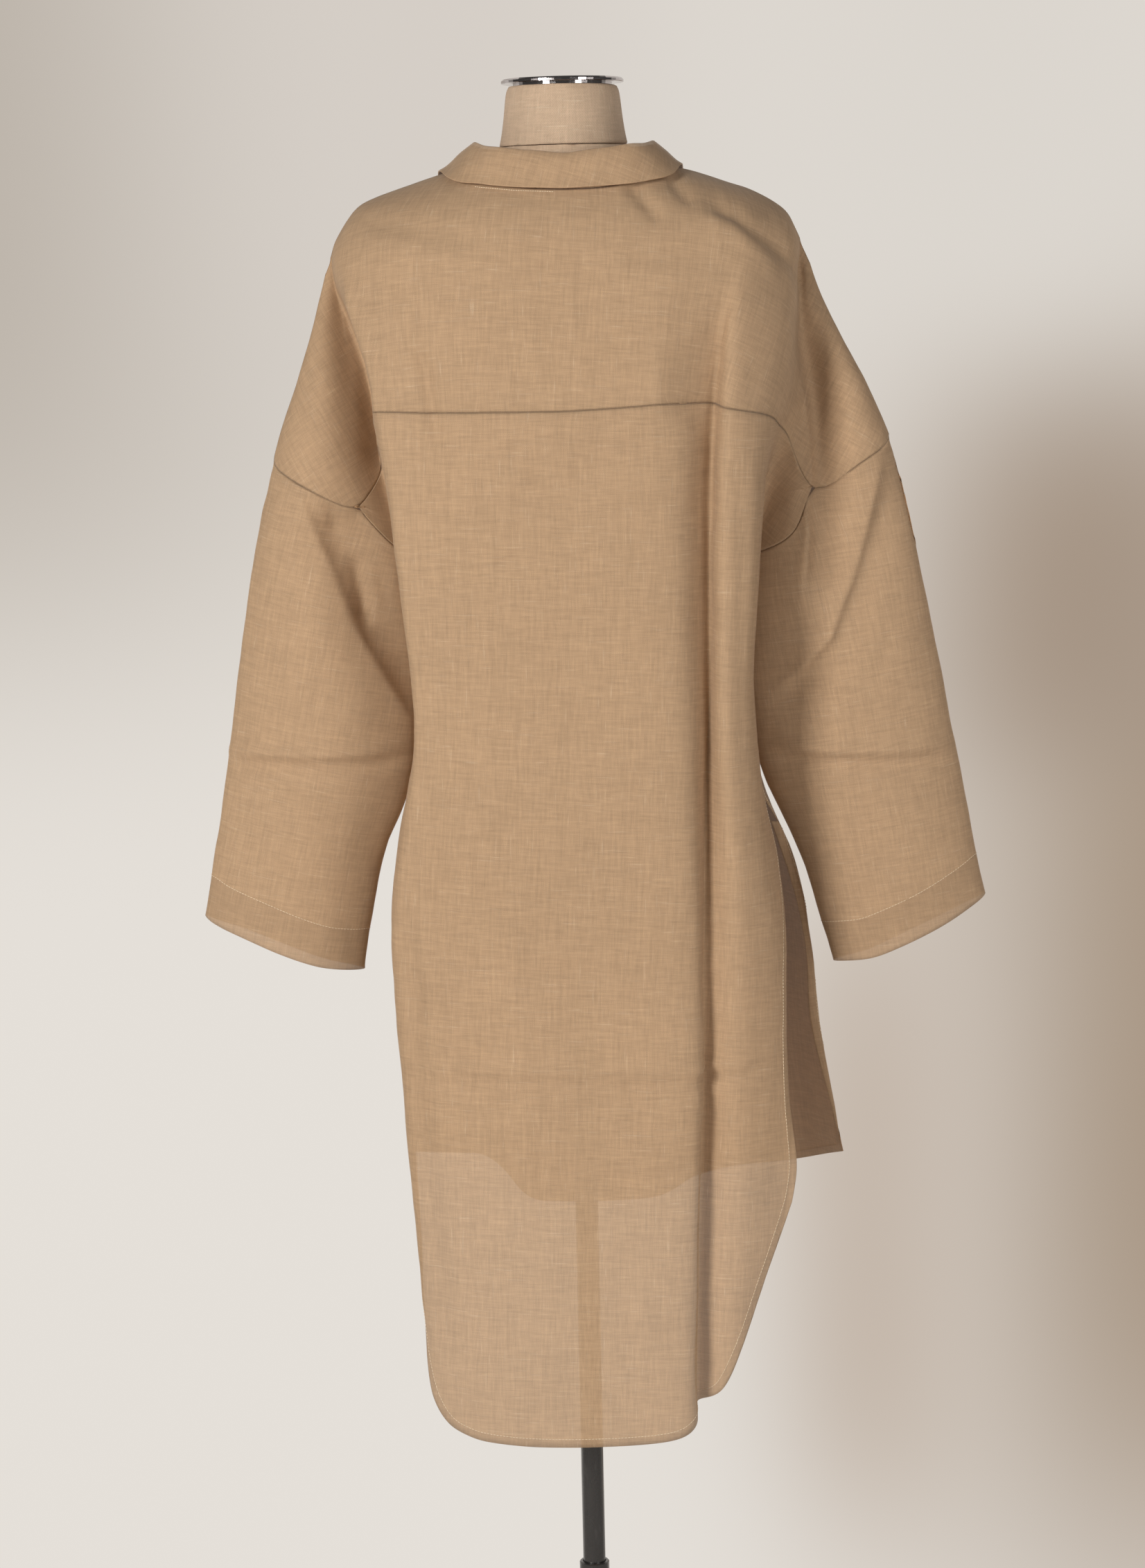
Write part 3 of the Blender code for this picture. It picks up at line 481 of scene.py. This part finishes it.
def gloss_black(name):
    """Black enamel with dust and worn places."""
    made, tree = new_material(name)
    place = object_place(tree)
    dust = placed(tree, MOTTLE, {"Place": place, "Patches Per Metre": 26.0, "Amount": 0.2})
    wear = fine_noise(tree, place, (160, 160, 40), detail=3.0)
    shade = plus(tree, times(tree, dust["Shade"], 0.022),
                 spread(tree, wear, 0.62, 0.8, 0.0, 0.02))
    colour = add(tree, "CombineColor", {
        "Red": shade, "Green": times(tree, shade, 0.93), "Blue": times(tree, shade, 0.9),
    })
    surfaced(tree, add(tree, "BsdfPrincipled", {
        "Base Color": colour.outputs["Color"],
        "Roughness": spread(tree, wear, 0.35, 0.8, 0.20, 0.42),
        "Specular IOR Level": 0.6, "Coat Weight": 0.4, "Coat Roughness": 0.12,
    }))
    return made


# ------------ meshes

def merged_copy(node):
    """Shape of a CAD node, with its doubles merged."""
    shape = bmesh.new()
    shape.from_mesh(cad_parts[node].data)
    bmesh.ops.remove_doubles(shape, verts=shape.verts, dist=DOUBLES * MM)
    return shape


def mesh_of(shape, name):
    mesh = bpy.data.meshes.new(name)
    shape.to_mesh(mesh)
    shape.free()
    return mesh


def join_quads(shape, angle):
    bmesh.ops.join_triangles(shape, faces=shape.faces, angle_face_threshold=angle,
                             angle_shape_threshold=angle)


def islands(shape):
    """Sets of faces that hang together."""
    left, found = set(shape.faces), []
    while left:
        start = left.pop()
        group, waiting = {start}, [start]
        while waiting:
            for edge in waiting.pop().edges:
                for other in edge.link_faces:
                    if other in left:
                        left.remove(other)
                        group.add(other)
                        waiting.append(other)
        found.append(group)
    return found


def outer_side(node):
    """Outer face of a CAD wall of cloth, as an open surface of quads."""
    shape = merged_copy(node)
    rim = [f for f in shape.faces
           if min(abs(e.calc_length() / MM - WALL) for e in f.edges) < WALL_TOLERANCE]
    bmesh.ops.delete(shape, geom=rim, context="FACES")
    parts = sorted(islands(shape), key=lambda part: sum(f.calc_area() for f in part))
    for part in parts[:-1]:
        bmesh.ops.delete(shape, geom=list(part), context="FACES")
    join_quads(shape, ANY_ANGLE)
    return mesh_of(shape, node + "_cloth")


def soft(share):
    """A share from 0 to 1 with soft ends."""
    return share * share * (3 - 2 * share)


def table_value(table, z):
    """Second column of a table of falling heights at z."""
    for (high, a), (low, b) in zip(table, table[1:]):
        if z >= low:
            return a + (b - a) * min(max((high - z) / (high - low), 0.0), 1.0)
    return table[-1][1]


def on_the_slit(edge):
    """True on the front's free upright edge on the wearer's right."""
    a, b = (v.co for v in edge.verts)
    return (edge.is_boundary and abs(a.z - b.z) > abs(a.x - b.x)
            and all(p.x > ROLL_X and ROLL_LOW < p.z < ROLL_HIGH for p in (a, b)))


def rolled(mesh):
    """Adds the roll of the front's free edge at the slit."""
    shape = bmesh.new()
    shape.from_mesh(mesh)
    spine = [e for e in shape.edges if on_the_slit(e)]
    rows = {}
    for vertex in sorted({v for e in spine for v in e.verts}, key=lambda v: v.index):
        width = max(table_value(ROLL, vertex.co.z / MM), ROLL_LEAST) * MM
        rows[vertex] = [vertex] + [shape.verts.new(vertex.co + Vector((out, way, 0)) * width)
                                   for out, way in ROLL_SECTION]
    for edge in spine:
        a, b = (rows[v] for v in edge.verts)
        for k in range(len(a) - 1):
            shape.faces.new((a[k], b[k], b[k + 1], a[k + 1]))
    bmesh.ops.recalc_face_normals(shape, faces=shape.faces)
    if sum(f.normal.y for f in shape.faces) < 0:
        bmesh.ops.reverse_faces(shape, faces=shape.faces)
    shape.to_mesh(mesh)
    shape.free()


def linked(name, data):
    made = bpy.data.objects.new(name, data)
    bpy.context.scene.collection.objects.link(made)
    return made


def shown_object(mesh, name, *finishes):
    for finish in finishes:
        mesh.materials.append(finish)
    return linked(name, mesh)


def select_only(piece):
    bpy.ops.object.select_all(action="DESELECT")
    bpy.context.view_layer.objects.active = piece
    piece.select_set(True)


def apply_modifier(piece, kind, **settings):
    made = piece.modifiers.new(kind.lower(), kind)
    for name, value in settings.items():
        setattr(made, name, value)
    select_only(piece)
    bpy.ops.object.modifier_apply(modifier=made.name)


def smoothed(piece, levels):
    apply_modifier(piece, "SUBSURF", levels=levels, render_levels=levels,
                   boundary_smooth="PRESERVE_CORNERS")


def eased(piece, rounds):
    """Relaxes a piece's surface and leaves its edges where they are."""
    group = piece.vertex_groups.new(name="inside")
    edge = set(edge_points(piece.data))
    group.add([i for i in range(len(piece.data.vertices)) if i not in edge], 1.0, "REPLACE")
    apply_modifier(piece, "SMOOTH", factor=0.5, iterations=rounds, vertex_group="inside")
    piece.vertex_groups.clear()


def edge_pairs(mesh):
    """Vertex pairs of the edges on a mesh's boundary."""
    used = np.zeros(len(mesh.loops), np.int32)
    mesh.loops.foreach_get("edge_index", used)
    ends = np.zeros(len(mesh.edges) * 2, np.int32)
    mesh.edges.foreach_get("vertices", ends)
    free = np.flatnonzero(np.bincount(used, minlength=len(mesh.edges)) == 1)
    return ends.reshape(-1, 2)[free].tolist()


def edge_points(mesh):
    """Indices of a mesh's boundary vertices."""
    return sorted({v for pair in edge_pairs(mesh) for v in pair})


def between(p, q, step):
    """Points from p to q, both ends included."""
    count = max(int((q - p).length / (step * MM)), 1)
    return [p.lerp(q, k / count) for k in range(count + 1)]


def tree_of(points):
    tree = KDTree(len(points))
    for i, p in enumerate(points):
        tree.insert(p, i)
    tree.balance()
    return tree


def dense_edge(meshes):
    """Points set closely along the boundaries of meshes."""
    points = []
    for mesh in meshes:
        for a, b in edge_pairs(mesh):
            points += between(mesh.vertices[a].co, mesh.vertices[b].co, SEW_STEP)
    return tree_of(points)


def sewn(mesh, partners):
    """Moves the edge that meets the partners onto them, and eases the cloth beside it."""
    found = dense_edge(partners)
    moves, marks = [], []
    for i in edge_points(mesh):
        point = mesh.vertices[i].co
        spot, _, gap = found.find(point)
        if gap < SEAM_REACH * MM:
            marks.append(point.copy())
            moves.append(spot - point)
    near = tree_of(marks)
    for vertex in mesh.vertices:
        gap = near.find(vertex.co)[2]
        share = max(1 - gap / (SEAM_EASE * MM), 0.0)
        if share > 0:
            total, weight = Vector(), 0.0
            for _, k, away in near.find_n(vertex.co, SEAM_NEIGHBOURS):
                pull = 1.0 / (away * away + SEAM_SOFTENING)
                total += moves[k] * pull
                weight += pull
            vertex.co += total / weight * share * share * (3 - 2 * share)
    return marks


def nearest_on(line, spot):
    """Distance from a line, the same signed by side, and the share of its length there."""
    best, side, place, run = None, 0.0, 0.0, 0.0
    for a, b in zip(line, line[1:]):
        span = (b - a).length
        t = min(max((spot - a) @ (b - a) / (span * span), 0.0), 1.0)
        away = (spot - a.lerp(b, t)).length
        if best is None or away < best:
            best, place = away, run + t * span
            side = away if ((b - a).cross(spot - a) > 0) == (b.y < a.y) else -away
        run += span
    return best, side, place / run


def faded(share, start, end):
    """1 along a line, falling softly to 0 over a share of its length at each end."""
    return soft(max(min(share / start, (1 - share) / end, 1.0), 0.0))


def crease_rows(node, where):
    """Creases on one side of a piece, each with the box that it reaches."""
    rows = []
    for pieces, side, depth, width, *points in CREASES:
        if node in pieces and side == where:
            line = [Vector(p) for p in points]
            reach = CREASE_REACH * width
            xs, zs = zip(*points)
            box = (min(xs) - reach, max(xs) + reach, min(zs) - reach, max(zs) + reach)
            rows.append((depth, width, line, box))
    return rows


def crease_depth(rows, x, z):
    """How far the creases push in at x, z."""
    total, spot = 0.0, Vector((x, z))
    for depth, width, line, (left, right, low, high) in rows:
        if left < x < right and low < z < high:
            away, _, share = nearest_on(line, spot)
            if away < CREASE_REACH * width:
                total += depth * faded(share, CREASE_FADE, CREASE_FADE) * math.exp(
                    -((away / width) ** 2))
    return total


def lap_depth(rows, x, z):
    """How far the laps push in at x, z, and how far their edges lean over the hollow.

    The cloth drops beside the line, is deepest at the peak, and comes back over the reach.
    """
    total, lean, spot = 0.0, 0.0, Vector((x, z))
    for depth, peak, reach, line in rows:
        _, side, share = nearest_on(line, spot)
        side = side if reach > 0 else -side
        fade = faded(share, LAP_FADE_TOP, LAP_FADE_FOOT)
        lip = LIP_HEIGHT * math.exp(-abs(side) / LIP_REACH)
        if peak < STEEP:
            lean += math.copysign(fade * LEAN * math.exp(-((side / LEAN_REACH) ** 2)), reach)
        if side <= 0:
            total -= fade * depth * lip
            continue
        if peak < STEEP:
            drop = (1 - math.exp(-side / peak)) * math.exp(-((side / abs(reach)) ** 2))
        else:
            drop = side / peak * math.exp(1 - side / peak)
        total += fade * depth * (drop - lip * max(1 - side / LIP_END, 0.0))
    return total, lean


def drawn_in(mesh, node):
    """Draws the inner side of a sleeve towards the body."""
    table, way = DRAWN_IN[node], 1 if node.endswith("left") else -1
    inner = {}
    for vertex in mesh.vertices:
        row = int(vertex.co.z / MM / DRAWN_ROW)
        inner[row] = max(inner.get(row, -math.inf), way * vertex.co.x)
    for vertex in mesh.vertices:
        z = vertex.co.z / MM
        if table[-1][0] < z < table[0][0]:
            away = inner[int(z / DRAWN_ROW)] - way * vertex.co.x
            share = max(1 - away / (DRAWN_REACH * MM), 0.0)
            vertex.co.x += way * table_value(table, z) * MM * soft(share)


def creased(mesh, node):
    """Pushes the creases, the laps and the cloth's slow unevenness into the surface."""
    rows = {side: crease_rows(node, side) for side in (BEHIND, BEFORE)}
    laps = [(depth, peak, reach, [Vector(p) for p in points])
            for pieces, depth, peak, reach, *points in LAPS if node in pieces]
    ripples = COLLAR_RIPPLES if node.startswith("collar") else RIPPLES
    moved = []
    for vertex in mesh.vertices:
        normal = vertex.normal
        x, z = vertex.co.x / MM, vertex.co.z / MM
        side = BEHIND if normal.y < 0 else BEFORE
        depth = crease_depth(rows[side], x, z) * min(abs(normal.y) / FACING, 1.0)
        drop, lean = lap_depth(laps, x, z) if side == BEHIND else (0.0, 0.0)
        for wavelength, height in ripples:
            depth += height * noise.noise(vertex.co / (wavelength * MM) + RIPPLE_START)
        moved.append(vertex.co - normal * depth * MM + Vector((lean, drop, 0)) * MM)
    for vertex, place in zip(mesh.vertices, moved):
        vertex.co = place
    mesh.update()


def distance_attribute(mesh, name, marks, offset=0.0):
    """Stores how far each vertex is from the marks, in metres."""
    field = mesh.attributes.new(name, "FLOAT", "POINT")
    if marks:
        tree = tree_of(marks)
        values = [tree.find(v.co)[2] - offset for v in mesh.vertices]
    else:
        values = [1.0] * len(mesh.vertices)
    field.data.foreach_set("value", values)


def cut_map(piece):
    """Unwraps the piece to its cut in metres, with its length upright."""
    mesh = piece.data
    select_only(piece)
    mesh.uv_layers.new(name="cut")
    bpy.ops.object.mode_set(mode="EDIT")
    bpy.ops.mesh.select_all(action="SELECT")
    bpy.ops.uv.unwrap(method="ANGLE_BASED", margin=0.0)
    bpy.ops.object.mode_set(mode="OBJECT")
    layer = mesh.uv_layers["cut"].data
    flat_area = real_area = 0.0
    pull = Vector((0.0, 0.0))
    for face in mesh.polygons:
        loops = list(face.loop_indices)
        spots = [layer[i].uv for i in loops]
        flat_area += abs(sum((a - spots[0]).cross(b - spots[0]) / 2
                             for a, b in zip(spots[1:], spots[2:])))
        real_area += face.area
        for i, j in zip(loops, loops[1:] + loops[:1]):
            low, high = (mesh.vertices[mesh.loops[k].vertex_index].co.z for k in (i, j))
            pull += (layer[j].uv - layer[i].uv) * (high - low)
    size = math.sqrt(real_area / flat_area)
    turn = math.pi / 2 - math.atan2(pull.y, pull.x)
    c, s = math.cos(turn) * size, math.sin(turn) * size
    for item in layer:
        u, v = item.uv
        item.uv = (u * c - v * s, u * s + v * c)


def mark_tube_seam(mesh, side):
    """Marks the edges up a sleeve's inner line, where its cloth is joined."""
    shape = bmesh.new()
    shape.from_mesh(mesh)
    low = min(v.co.z for v in shape.verts)
    cuff = [v for v in shape.verts if v.is_boundary and v.co.z < low + CUFF_BAND]
    vertex = min(cuff, key=lambda v: side * v.co.x)
    seen = {vertex}
    while True:
        ways = [((edge.other_vert(vertex).co - vertex.co).normalized().z, edge)
                for edge in vertex.link_edges
                if not edge.is_boundary and edge.other_vert(vertex) not in seen]
        rise, edge = max(ways, key=lambda way: way[0], default=(0.0, None))
        if rise < LEAST_RISE:
            break
        edge.seam = True
        vertex = edge.other_vert(vertex)
        seen.add(vertex)
        if vertex.is_boundary:
            break
    shape.to_mesh(mesh)
    shape.free()


# ------------ stitches

def level_line(mesh, field, level):
    """Points and normals, in order, along each line where a vertex field has a value."""
    joins, spots = {}, {}
    for face in mesh.polygons:
        crossed = []
        for a, b in face.edge_keys:
            low, high = field[a] - level, field[b] - level
            if (low < 0) != (high < 0):
                t = low / (low - high)
                key = (min(a, b), max(a, b))
                start, end = mesh.vertices[a], mesh.vertices[b]
                spots[key] = (start.co.lerp(end.co, t),
                              start.normal.lerp(end.normal, t).normalized())
                crossed.append(key)
        if len(crossed) == 2:
            joins.setdefault(crossed[0], []).append(crossed[1])
            joins.setdefault(crossed[1], []).append(crossed[0])
    lines, left = [], set(joins)
    while left:
        ends = [k for k in left if len(joins[k]) == 1]
        line, following = [], [min(ends) if ends else min(left)]
        while following:
            line.append(following[0])
            left.discard(following[0])
            following = [k for k in joins[following[0]] if k in left]
        lines.append([spots[k] for k in line])
    return lines


def one_stitch(shape, point, normal, way, length, thick):
    """Adds a short thread that dips at both ends."""
    side = normal.cross(way)
    rings = []
    for along, height, size in STITCH_RINGS:
        centre = (point + way * along * length * MM
                  + normal * (height * thick + STITCH_LIFT) * MM)
        ring = []
        for k in range(STITCH_SIDES):
            angle = 2 * math.pi * k / STITCH_SIDES
            out = side * math.cos(angle) + normal * math.sin(angle)
            ring.append(shape.verts.new(centre + out * thick * size * 0.5 * MM))
        rings.append(ring)
    for a, b in zip(rings, rings[1:]):
        for k in range(STITCH_SIDES):
            m = (k + 1) % STITCH_SIDES
            shape.faces.new((a[k], a[m], b[m], b[k]))
    shape.faces.new(list(reversed(rings[0])))
    shape.faces.new(rings[-1])


def stitch_row(shape, line, pitch, length, thick):
    """Adds a row of small stitches along a line of points and normals."""
    marks = [0.0]
    for (p, _), (q, _) in zip(line, line[1:]):
        marks.append(marks[-1] + (q - p).length)
    i, place = 0, pitch * 0.5 * MM
    while place < marks[-1]:
        while i < len(marks) - 2 and marks[i + 1] < place:
            i += 1
        t = (place - marks[i]) / max(marks[i + 1] - marks[i], 1e-9)
        point = line[i][0].lerp(line[i + 1][0], t)
        normal = line[i][1].lerp(line[i + 1][1], t).normalized()
        way = line[i + 1][0] - line[i][0]
        way = (way - normal * way.dot(normal)).normalized()
        swing = noise.noise(point * STITCH_SWINGS_PER_METRE) * STITCH_SWING
        way = (way + normal.cross(way) * swing).normalized()
        one_stitch(shape, point, normal, way, length, thick)
        place += pitch * MM


def stitches(name, lines, finish, pitch, length, thick):
    shape = bmesh.new()
    for line in lines:
        if len(line) > 2:
            stitch_row(shape, line, pitch, length, thick)
    bmesh.ops.recalc_face_normals(shape, faces=shape.faces)
    mesh = mesh_of(shape, name)
    mesh.shade_smooth()
    made = shown_object(mesh, name, finish)
    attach(made, "root")
    return made


def cast_row(piece, points, step=2.0):
    """Points and normals on a piece's back where a line of x, z falls on it."""
    row = []
    for (x0, z0), (x1, z1) in zip(points, points[1:]):
        count = max(int(math.hypot(x1 - x0, z1 - z0) / step), 1)
        for k in range(count):
            x, z = x0 + (x1 - x0) * k / count, z0 + (z1 - z0) * k / count
            found, place, normal, _ = piece.ray_cast((x * MM, -0.4, z * MM), (0, 1, 0))
            if found:
                row.append((place.copy(), normal.copy()))
    return row


# ------------ the tunic

def cut_piece(node, facts, right, wrong):
    """One piece of cloth, smoothed, with its cut laid flat."""
    piece = shown_object(outer_side(node), node + "_cloth", right, wrong)
    if node == "front":
        rolled(piece.data)
    if node in DRAWN_IN:
        mark_tube_seam(piece.data, -1 if node.endswith("left") else 1)
    cut_map(piece)
    smoothed(piece, facts["levels"])
    if node in DRAWN_IN:
        eased(piece, SLEEVE_EASING)
        drawn_in(piece.data, node)
    return piece


def sewn_up(meshes):
    """Sews the pieces edge to edge and returns the points of each piece's seams."""
    seams = {}
    for node, partners in SEAMS:
        marks = sewn(meshes[node], [meshes[p] for p in partners])
        seams.setdefault(node, []).extend(marks)
        near = tree_of(marks)
        for p in partners:
            for i in edge_points(meshes[p]):
                point = meshes[p].vertices[i].co
                if near.find(point)[2] < SEAM_MATCH * MM:
                    seams.setdefault(p, []).append(point.copy())
    return seams


def edge_marks(mesh, ends):
    """Points set closely along the boundary between vertices."""
    if not ends:
        return []
    near = tree_of([mesh.vertices[i].co.copy() for i in ends])
    points = []
    for a, b in edge_pairs(mesh):
        p, q = mesh.vertices[a].co, mesh.vertices[b].co
        if near.find(p)[2] < SAME_POINT and near.find(q)[2] < SAME_POINT:
            points += between(p, q, MARK_STEP)
    return points


def marked_edges(mesh, node, seam_points):
    """Stores each vertex's distance from the seams and from the hem's row of stitches.

    Returns the lines of that row.
    """
    seam, hem = [], []
    if not node.startswith("collar"):
        near = tree_of(seam_points)
        edge = edge_points(mesh)
        joined = [i for i in edge if near.find(mesh.vertices[i].co)[2] < SEAM_JOINED * MM]
        top = HEM_TOP.get(node, 0.0)
        free = {i for i in edge if mesh.vertices[i].co.z < top * MM} - set(joined)
        ends = {v for pair in edge_pairs(mesh) if (pair[0] in free) != (pair[1] in free)
                for v in pair}
        seam, hem = edge_marks(mesh, joined), edge_marks(mesh, free | ends)
    width = HEM_CUFF if node.startswith("sleeve") else HEM_BODY
    distance_attribute(mesh, "seam", seam)
    distance_attribute(mesh, "hem", hem, width * MM)
    if not hem:
        return []
    field = [0.0] * len(mesh.vertices)
    mesh.attributes["hem"].data.foreach_get("value", field)
    return [line for line in level_line(mesh, field, 0.0) if len(line) > HEM_SCRAP]


def tunic(right, wrong, pale):
    made = {node: cut_piece(node, facts, right, wrong) for node, facts in CLOTH.items()}
    meshes = {node: piece.data for node, piece in made.items()}
    seams = sewn_up(meshes)
    for node, mesh in meshes.items():
        creased(mesh, node)
    for node, partners in SEAMS:
        sewn(meshes[node], [meshes[p] for p in partners])
    rows = {}
    for node, piece in made.items():
        mesh = piece.data
        mesh.update()
        rows[node] = marked_edges(mesh, node, seams.get(node, []))
        mesh.shade_smooth()
        thick = COLLAR_THICK if node.startswith("collar") else CLOTH_THICK
        # The inner wall takes the second material, the wrong side with its painted shade.
        apply_modifier(piece, "SOLIDIFY", thickness=thick * MM, offset=-1.0, material_offset=1,
                       material_offset_rim=0)
        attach(piece, "root")
        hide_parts(node)
    for node, piece in made.items():
        if rows[node]:
            stitches(node + "_stitches", rows[node], pale, **HEM_STITCH)
        if node == "back_yoke":
            row = cast_row(piece, COLLAR_ROW)
            stitches("collar_row", [row], pale, **COLLAR_STITCH)


# ------------ the form and its stand

def covered(node, cover):
    """A padded part of the form in its canvas."""
    shape = merged_copy(node)
    join_quads(shape, FORM_ANGLE)
    hard = shape.edges.layers.float.new("crease_edge")
    for edge in shape.edges:
        if len(edge.link_faces) == 2 and edge.calc_face_angle() > FORM_ANGLE:
            edge[hard] = FORM_EDGE_CREASE
    mesh = mesh_of(shape, node + "_cover")
    piece = shown_object(mesh, node + "_cover", cover)
    smoothed(piece, 2)
    layer = mesh.uv_layers.new(name="cut")
    for loop in mesh.loops:
        point = mesh.vertices[loop.vertex_index].co
        angle = math.atan2(point.x, -point.y)
        layer.data[loop.index].uv = (angle * CANVAS_RADIUS[node], point.z)
    mesh.shade_smooth()
    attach(piece, "root")
    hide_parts(node)


def dress_form(cover, metal, black):
    for node in CANVAS_RADIUS:
        covered(node, cover)
    for node, finish in (("neck_cap", metal), ("pole", black), ("pole_tube", black),
                         ("base_hub", black), ("base_disc", black)):
        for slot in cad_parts[node].material_slots:
            slot.material = finish


# ------------ stage, light and camera

# Sweep of backdrop paper, in metres: its wall, the curve at its foot, and its front and sides.
STAGE_BACK, STAGE_CURVE, STAGE_FRONT, STAGE_TOP, STAGE_HALF = 1.9, 1.0, 0.25, 4.2, 4.5
STAGE_STEPS = 24
FLOOR_HALF, FLOOR_DROP = 9, 0.001
FLOOR_COLOUR = (0.72, 0.69, 0.66, 1)

# Camera: how far behind the tunic and how high, in metres; tilt and roll in degrees; how far
# its aim is off the middle; lens and sensor in millimetres.
CAMERA_AWAY, CAMERA_HEIGHT = 3.65, 1.375
CAMERA_TILT, CAMERA_ROLL, CAMERA_OFF = 7.3, 1.26, -0.0048
LENS, SENSOR = 88.99, 36

# Lamps: name, place, aim, size, power, colour.
LAMPS = (
    ("key", (-2.2, -3.15, 2.0), (0, 0, 0.9), (1.0, 1.3), 127, (1.0, 0.97, 0.93)),
    ("fill", (2.5, -3.1, 1.6), (0, 0, 0.9), (1.6, 1.8), 54, (1.0, 0.97, 0.94)),
)
AIR_COLOUR, AIR_STRENGTH = (0.80, 0.76, 0.72, 1), 0.09

# Light and shade thrown on the backdrop: place across and up, reach across and up, colour.
BACKDROP = (0.78, 0.74, 0.69)
PATCHES = (
    (-0.95, 1.75, 0.70, 0.90, (0.49, 0.44, 0.385)),
    (-0.15, 1.75, 0.40, 0.60, (0.66, 0.61, 0.56)),
    (0.88, 0.25, 0.42, 1.10, (0.40, 0.315, 0.24)),
    (0.75, 1.00, 0.25, 0.35, (0.38, 0.30, 0.235)),
    (0.60, 1.70, 0.55, 0.50, (0.71, 0.67, 0.62)),
    (0.42, -0.08, 0.16, 0.55, (0.56, 0.48, 0.41)),
)
# How far the patches run down the sweep for each metre that it comes forward.
PATCH_SLOPE = 0.45


def backdrop_paint(name):
    """Paper that is lit in soft patches. They run on down the sweep and keep their shape."""
    made, tree = new_material(name)
    split = add(tree, "SeparateXYZ", {"Vector": object_place(tree)})
    away = plus(tree, split.outputs["Y"], CAMERA_AWAY)
    across = maths(tree, "DIVIDE", times(tree, split.outputs["X"], CAMERA_AWAY + STAGE_BACK), away)
    forward = minus(tree, STAGE_BACK, split.outputs["Y"])
    up = minus(tree, split.outputs["Z"], times(tree, forward, PATCH_SLOPE))
    colour = (*BACKDROP, 1)
    for x, z, wide, high, patch in PATCHES:
        dx = maths(tree, "DIVIDE", minus(tree, across, x), wide)
        dz = maths(tree, "DIVIDE", minus(tree, up, z), high)
        far = plus(tree, times(tree, dx, dx),
                   maths(tree, "POWER", maths(tree, "ABSOLUTE", dz), 4.0))
        share = maths(tree, "POWER", math.e, times(tree, far, -1.0))
        colour = mixed_colour(tree, share, colour, (*patch, 1))
    one_sided(tree, add(tree, "Emission", {"Color": colour, "Strength": 1.0}))
    return made


def floor_paint(name):
    made, tree = new_material(name)
    surfaced(tree, add(tree, "BsdfPrincipled", {
        "Base Color": FLOOR_COLOUR, "Roughness": 0.9, "Specular IOR Level": 0.1,
    }))
    return made


def stage():
    profile = [(STAGE_FRONT, 0.0)]
    for k in range(STAGE_STEPS + 1):
        angle = math.pi / 2 * k / STAGE_STEPS
        profile.append((STAGE_BACK - STAGE_CURVE + STAGE_CURVE * math.sin(angle),
                        STAGE_CURVE - STAGE_CURVE * math.cos(angle)))
    profile.append((STAGE_BACK, STAGE_TOP))
    shape = bmesh.new()
    left = [shape.verts.new((-STAGE_HALF, y, z)) for y, z in profile]
    right = [shape.verts.new((STAGE_HALF, y, z)) for y, z in profile]
    for k in range(len(profile) - 1):
        shape.faces.new((left[k], right[k], right[k + 1], left[k + 1]))
    shape.normal_update()
    sweep = mesh_of(shape, "backdrop")
    sweep.shade_smooth()
    ground = bpy.data.meshes.new("floor")
    corners = ((-1, -1), (1, -1), (1, 1), (-1, 1))
    ground.from_pydata([(x * FLOOR_HALF, y * FLOOR_HALF, -FLOOR_DROP) for x, y in corners], [],
                       [(0, 1, 2, 3)])
    shown_object(sweep, "backdrop", backdrop_paint("backdrop paper"))
    shown_object(ground, "floor", floor_paint("floor paper"))


def lamp(name, place, aim, size, power, colour):
    light = bpy.data.lights.new(name, "AREA")
    light.shape = "RECTANGLE"
    light.size, light.size_y = size
    light.energy = power
    light.color = colour
    made = linked(name, light)
    made.location = place
    turn = (Vector(aim) - Vector(place)).to_track_quat("-Z", "Y")
    made.rotation_euler = turn.to_euler()


def lights():
    world = bpy.data.worlds.new("studio air")
    world.use_nodes = True
    air = world.node_tree.nodes["Background"]
    air.inputs["Color"].default_value = AIR_COLOUR
    air.inputs["Strength"].default_value = AIR_STRENGTH
    bpy.context.scene.world = world
    for facts in LAMPS:
        lamp(*facts)


def camera():
    tilt, roll = math.radians(CAMERA_TILT), math.radians(CAMERA_ROLL)
    yaw = math.atan2(CAMERA_OFF, CAMERA_AWAY)
    ahead = Vector((math.sin(yaw) * math.cos(tilt), math.cos(yaw) * math.cos(tilt),
                    -math.sin(tilt)))
    level = Vector((math.cos(yaw), -math.sin(yaw), 0))
    up = level.cross(ahead)
    side = level * math.cos(roll) - up * math.sin(roll)
    top = level * math.sin(roll) + up * math.cos(roll)
    data = bpy.data.cameras.new("camera")
    data.lens, data.sensor_width = LENS, SENSOR
    made = linked("camera", data)
    turn = Matrix((side, top, -ahead)).transposed()
    made.matrix_world = Matrix.Translation((0, -CAMERA_AWAY, CAMERA_HEIGHT)) @ turn.to_4x4()
    bpy.context.scene.camera = made


LINEN = linen("khaki linen", (0.502, 0.338, 0.205), (0.62, 0.46, 0.315), 0.07, 0.10)
# The wrong side is a darker copy of the linen: painted shade for the tunic's shaded inside.
LINEN_WRONG_SHADED = linen("khaki linen wrong side in painted shade", (0.46, 0.285, 0.155), (0.57, 0.40, 0.25),
                    0.05, 0.10)
THREAD = thread("pale thread", (0.86, 0.72, 0.52))
CANVAS = canvas("form canvas", (0.55, 0.405, 0.285), (0.68, 0.56, 0.42))
CHROME = chrome("cap chrome")
BLACK = gloss_black("stand black")

tunic(LINEN, LINEN_WRONG_SHADED, THREAD)
dress_form(CANVAS, CHROME, BLACK)
stage()
lights()
camera()
bpy.context.scene.view_settings.view_transform = "Standard"
